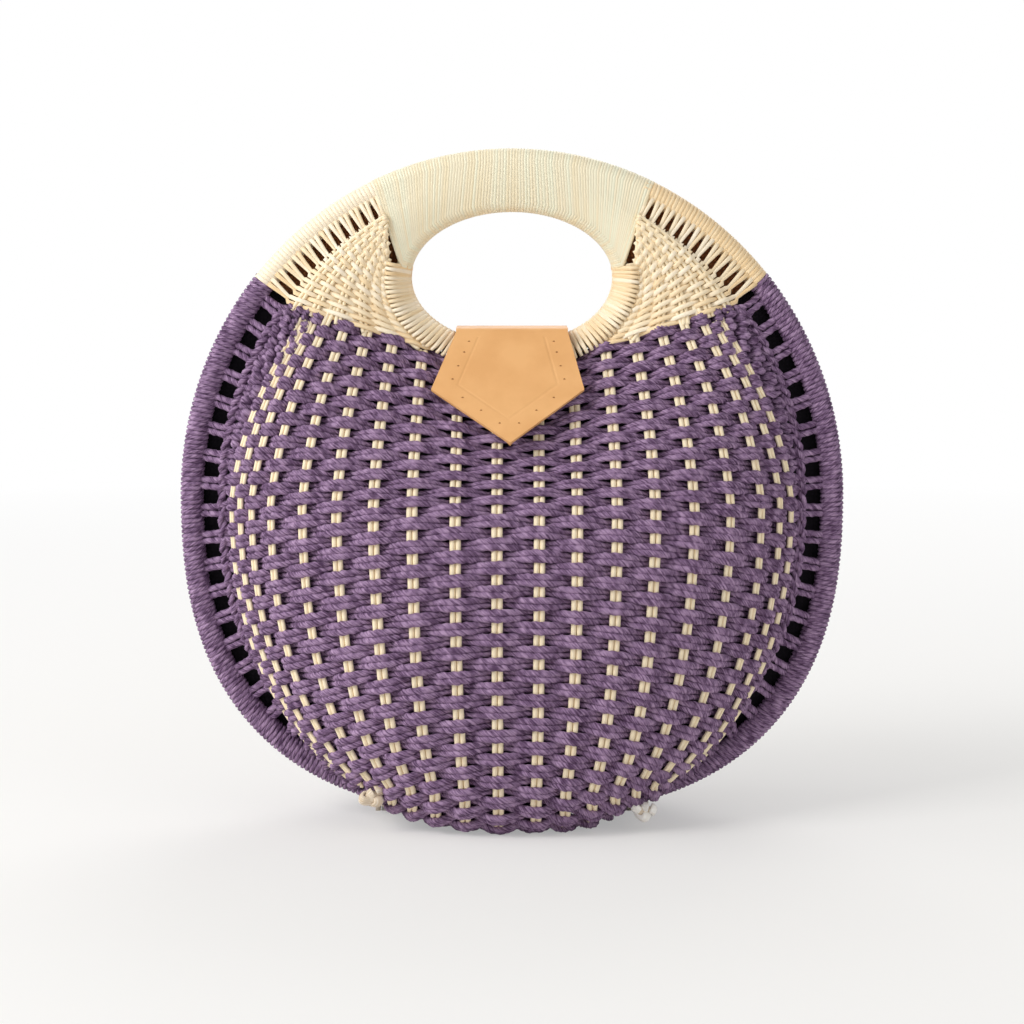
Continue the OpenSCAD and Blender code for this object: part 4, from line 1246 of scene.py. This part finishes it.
class BAG_OT_tab(BagPiece, bpy.types.Operator):
    """Cuts the leather tab and folds it over the rings"""
    bl_idname = "circle_bag.tab"
    bl_label = "Leather tab"

    def execute(self, context):
        # The backing ends 0.8 mm inside the edge of the face leather
        face = leather_layer("tab_face", BACK_T, BACK_T + FACE_T, 0)
        back = leather_layer("tab_back", 0, BACK_T - 0.05, 0.8)
        for name, mesh, finish, nodes in (("tab_face_leather", face, "leather", ("tab_leaf", "tab_anchor")),
                                          ("tab_back_leather", back, "leather_back", ("tab_backing",))):
            # Faces that look sideways take the cut edge's finish, whose pale colour is painted light
            piece = mesh_piece(name, mesh, [finish_of(finish), finish_of("lit_leather_edge")], None)
            mesh.set_sharp_from_angle(angle=math.radians(40))
            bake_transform(piece)
            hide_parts(*nodes)
        # Pricks by share of the side and of the lower edge, 7.6 mm inside the one and 3 to 6 mm inside the other
        holes = []
        for flip in (-1, 1):
            for s in (0.17, 0.36, 0.6, 0.83):
                holes.append((flip * (mix(TAB_W, TAB_CORNER_W, s) / 2 - 7.6), TAB_CORNER_LEN * s))
            for s in (0.34, 0.6, 0.86):
                holes.append((flip * (TAB_CORNER_W / 2 * (1 - s) - 3.4 * (1 - s)),
                              mix(TAB_CORNER_LEN, TAB_LEN, s) - 4.2 - 2.2 * s))
        # Each prick is a dark disc just in the leaf's face: painted shade of the hole
        bm = bmesh.new()
        for x, along in holes:
            place = leaf_frame(along, BACK_T + FACE_T - 0.11, x + tab_skew(along))
            disc(bm, PRICK_R, 0.3, 12, math.pi / 2 + LEAF_SLOPE, place)
        mesh = finished(bm, "tab_prick_hole_shade")
        piece = mesh_piece("tab_prick_hole_shade", mesh, finish_of("pinhole_shade"), "tab")
        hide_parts("tab_stitches")
        return {"FINISHED"}


def anchor_stitch(x, along):
    """One stitch of a seam through the anchor: a short arc of thread over the leather's outer face."""
    down, face = slope_axes(ANCHOR_SLOPE, 1)
    path = []
    for step in np.linspace(-1, 1, 7):
        lift = (FACE_T + BACK_T) / 2 + 0.38 * math.cos(step * math.pi / 2) - 0.14
        p = np.array([BEND_Y, BEND_Z]) + down * along + face * lift
        path.append((x + step * 1.5, p[0], p[1]))
    return np.array(path)


def refinish(finish, *nodes):
    """Gives CAD nodes that are shown as they are a finish of the scene."""
    for node in nodes:
        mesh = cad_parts[node].data
        mesh.materials.clear()
        mesh.materials.append(finish_of(finish))


class BAG_OT_snap(BagPiece, bpy.types.Operator):
    """Finishes the magnetic snap, its patch and the seams"""
    bl_idname = "circle_bag.snap"
    bl_label = "Snap and seams"

    def execute(self, context):
        refinish("nickel", "snap_stud", "snap_socket")
        refinish("rib", *[f"{side}_{node}" for side in ("front", "back") for node in ("rim_hoop", "hand_ring")])
        # Two rows of nine stitches across the anchor's end, 5 mm inside its edges
        side, count = TAB_W / 2 - 5, 9
        stitches = [anchor_stitch(mix(-side, side, (k + 0.5) / count), ANCHOR_LEN - inside)
                    for inside in (5, 10) for k in range(count)]
        mesh = swept_cords("anchor_seam", stitches, [ANCHOR_THREAD_R] * len(stitches), ROUND)
        piece = mesh_piece("anchor_seam", mesh, finish_of("thread"), "back_shell")
        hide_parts("anchor_stitches")
        # Stitches round the patch, each over 64 % of its share of the turn
        stitches, count, half = [], 16, 0.32
        for k in range(count):
            arc = []
            for step in np.linspace(-half, half, 7):
                turn = (k + step) * 2 * math.pi / count
                rise = 0.3 * math.cos(step / half * math.pi / 2) - 0.12
                arc.append(np.array(leaf_frame(SNAP_AT + PATCH_SEAM_R * math.cos(turn), PATCH_FACE + rise,
                                               PATCH_SEAM_R * math.sin(turn))) / MM)
            stitches.append(np.array(arc))
        mesh = swept_cords("patch_seam", stitches, [PATCH_THREAD_R] * len(stitches), ROUND)
        piece = mesh_piece("patch_seam", mesh, finish_of("thread"), "front_shell")
        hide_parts("patch_stitches")
        bm = bmesh.new()
        disc(bm, PATCH_R, PATCH_T, 48, math.pi / 2 - LEAF_SLOPE, leaf_frame(SNAP_AT, PATCH_FACE - PATCH_T / 2))
        rims = [edge for edge in bm.edges if edge.calc_face_angle(0) > 1]
        bmesh.ops.bevel(bm, geom=rims, offset=0.35 * MM, affect="EDGES", segments=2, profile=0.5, material=-1)
        mesh = finished(bm, "snap_patch")
        piece = mesh_piece("snap_patch_leather", mesh, finish_of("leather_back"), "front_shell",
                           smooth=False)
        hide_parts("snap_patch")
        return {"FINISHED"}


class BAG_OT_lining(BagPiece, bpy.types.Operator):
    """Hangs the cotton lining behind the ribs of each half"""
    bl_idname = "circle_bag.lining"
    bl_label = "Lining"

    def execute(self, context):
        bm = bmesh.new()
        bmesh.ops.create_grid(bm, x_segments=60, y_segments=26, size=0.5)
        for vert in bm.verts:
            u, w = vert.co.x + 0.5, vert.co.y + 0.5
            t = mix(180 - SHOULDER_FROM - 2, 360 + SHOULDER_FROM + 2, u)
            r = mix(540 - RING_BODY_FROM, RING_BODY_FROM, u)
            foot, goal = foot_xz(t), ring_xz(r, RING_R + RING_CLEAR)
            # The cloth begins a little inside the foot line and ends just short of the ring
            p = mix(foot, goal, 0.06 + 0.93 * max(0.0, w - HEM_SHARE) / (1 - HEM_SHARE))
            low = clamp01((LINING_LOW_FROM - p[1]) / (LINING_LOW_FROM - LINING_LOW_TO))
            back = LINING_BACK + LINING_BACK_LOW * low
            place = wall_point(p[0], p[1]) - wall_normal(p[0], max(p[1], 0.5)) * back
            if w < HEM_SHARE:
                # The hem turns out to the rim
                edge, s = rim_xz(t, CLOTH_IN_RIM), w / HEM_SHARE
                hem_y = mix(-REED_Y + HEM_LIFT, place[1], s ** 3)
                place = np.array([mix(edge[0], place[0], s), hem_y, mix(edge[1], place[2], s)])
            place[2] = max(place[2], LINING_FLOOR)
            vert.co = Vector(place) * MM
        mesh, area = finished_cloth(bm, "lining", LINING_T)
        pieces = both_halves("lining_cloth", mesh, finish_of("cotton"), "cotton", "lining")
        return {"FINISHED"}


class BAG_OT_shade_facings(BagPiece, bpy.types.Operator):
    """Backs the natural shoulders with a brown cotton sheet from ring to rim, whose colour is painted shade seen
    through the slots
    """
    bl_idname = "circle_bag.facings"
    bl_label = "Shoulder facings"

    def execute(self, context):
        for name, flip in (("right", 1), ("left", -1)):
            bm = bmesh.new()
            bmesh.ops.create_grid(bm, x_segments=12, y_segments=14, size=0.5)
            for vert in bm.verts:
                v, w = mix(-0.03, 1.05, vert.co.x + 0.5), vert.co.y + 0.5
                t, r = shoulder_angles(v)
                p = mix(ring_xz(r, SHADE_FACING_OUT), rim_xz(t, CLOTH_IN_RIM), w)
                y = mix(-REED_Y + SHADE_FACING_RING_Y, -REED_Y + SHADE_FACING_RIM_Y, w) - SHADE_FACING_BULGE * math.sin(math.pi * w)
                vert.co = Vector((flip * p[0], y, p[1])) * MM
            mesh, area = finished_cloth(bm, "shade_facing", SHADE_FACING_T)
            pieces = both_halves(f"facing_{name}", mesh, finish_of("shade_facing"), "cotton")
        return {"FINISHED"}


def seen_directly(tree):
    """1 for rays from the camera, from gloss and through glass, and 0 for the light on the bag."""
    path = add(tree, "ShaderNodeLightPath")
    seen = add(tree, "ShaderNodeMath", {"operation": "MAXIMUM"},
               {0: (path, "Is Camera Ray"), 1: (path, "Is Glossy Ray")})
    return add(tree, "ShaderNodeMath", {"operation": "MAXIMUM"},
               {0: (seen, "Value"), 1: (path, "Is Transmission Ray")})


class BAG_OT_stage(BagPiece, bpy.types.Operator):
    """Sets the floor, the studio light and the camera"""
    bl_idname = "circle_bag.stage"
    bl_label = "Stage"

    def execute(self, context):
        scene = context.scene
        scene.view_settings.view_transform = "Standard"
        material, tree, shader = new_material("pale studio floor", {"Roughness": 0.9, "Base Color": linear("f2f0ec")})
        # The floor is seen partly as its own pale colour, wholly so in the distance, and keeps the shadow
        place = add(tree, "ShaderNodeTexCoord")
        far = add(tree, "ShaderNodeVectorMath", {"operation": "LENGTH"}, {0: (place, "Object")})
        away = add(tree, "ShaderNodeMapRange", {"From Min": 0.25, "From Max": 1.6, "To Min": 0.35, "To Max": 1.0},
                   {"Value": (far, "Value")})
        share = add(tree, "ShaderNodeMath", {"operation": "MULTIPLY"},
                    {0: (away, "Result"), 1: (seen_directly(tree), "Value")})
        glow = add(tree, "ShaderNodeEmission", {"Color": (1, 1, 1, 1), "Strength": 1.0})
        both = add(tree, "ShaderNodeMixShader", {},
                   {0: (share, "Value"), 1: (shader, "BSDF"), 2: (glow, "Emission")})
        fill(tree, tree.nodes["Material Output"], {}, {"Surface": (both, "Shader")})
        bm = bmesh.new()
        bmesh.ops.create_grid(bm, x_segments=1, y_segments=1, size=6)
        mesh = finished(bm, "floor")
        mesh.materials.append(material)
        floor = link(bpy.data.objects.new("floor", mesh))
        world = bpy.data.worlds.new("studio")
        world.use_nodes = True
        scene.world = world
        tree = world.node_tree
        # The world lights the bag with less than half of the white that the camera sees
        strength = add(tree, "ShaderNodeMath", {"operation": "MULTIPLY_ADD", 1: 0.55, 2: 0.45},
                       {0: (seen_directly(tree), "Value")})
        fill(tree, tree.nodes["Background"], {"Color": (1, 1, 1, 1)}, {"Strength": (strength, "Value")})
        # Softboxes by place and size in metres, and power in watts
        for name, place, size, power in (("key", (-1.5, -1.1, 1.35), 0.9, 25), ("side", (-1.6, -0.1, 0.75), 1.0, 8),
                                         ("fill", (1.3, -1.2, 0.8), 1.2, 3), ("back", (0.3, 1.4, 1.3), 1.2, 9)):
            light = bpy.data.lights.new(name, "AREA")
            light.energy, light.size = power, size
            lamp = link(bpy.data.objects.new(name, light))
            lamp.location = place
            aim = Vector((0, 0, 0.15)) - Vector(place)
            lamp.rotation_euler = aim.to_track_quat("-Z", "Y").to_euler()
        camera = bpy.data.cameras.new("camera")
        camera.lens, camera.sensor_width = CAMERA_LENS, 36
        eye = link(bpy.data.objects.new("camera", camera))
        eye.location = CAMERA_PLACE
        eye.rotation_euler = (math.radians(90) - CAMERA_DOWN, 0, 0)
        scene.camera = eye
        return {"FINISHED"}


OPERATORS = [BAG_OT_courses, BAG_OT_ribs, BAG_OT_rim, BAG_OT_shoulders, BAG_OT_ring, BAG_OT_grip, BAG_OT_ties,
             BAG_OT_tab, BAG_OT_snap, BAG_OT_lining, BAG_OT_shade_facings, BAG_OT_stage]


class BAG_PT_panel(bpy.types.Panel):
    """Lists the bag's sizes and pieces"""
    bl_label = "Circle bag"
    bl_idname = "BAG_PT_panel"
    bl_space_type = "VIEW_3D"
    bl_region_type = "UI"
    bl_category = "Circle bag"

    def draw(self, context):
        for group, kind in ((context.scene.circle_bag, BagSizes), (context.scene.circle_bag_colours, BagColours)):
            for name in kind.__annotations__:
                self.layout.prop(group, name)
        for operator in OPERATORS:
            self.layout.operator(operator.bl_idname)


def register():
    for one in [BagSizes, BagColours, *OPERATORS, BAG_PT_panel]:
        bpy.utils.register_class(one)
    bpy.types.Scene.circle_bag = PointerProperty(type=BagSizes)
    bpy.types.Scene.circle_bag_colours = PointerProperty(type=BagColours)


def unregister():
    del bpy.types.Scene.circle_bag_colours, bpy.types.Scene.circle_bag
    for one in reversed([BagSizes, BagColours, *OPERATORS, BAG_PT_panel]):
        bpy.utils.unregister_class(one)


def main():
    register()
    for operator in OPERATORS:
        group, name = operator.bl_idname.split(".")
        getattr(getattr(bpy.ops, group), name)()


if __name__ == "__main__":
    main()
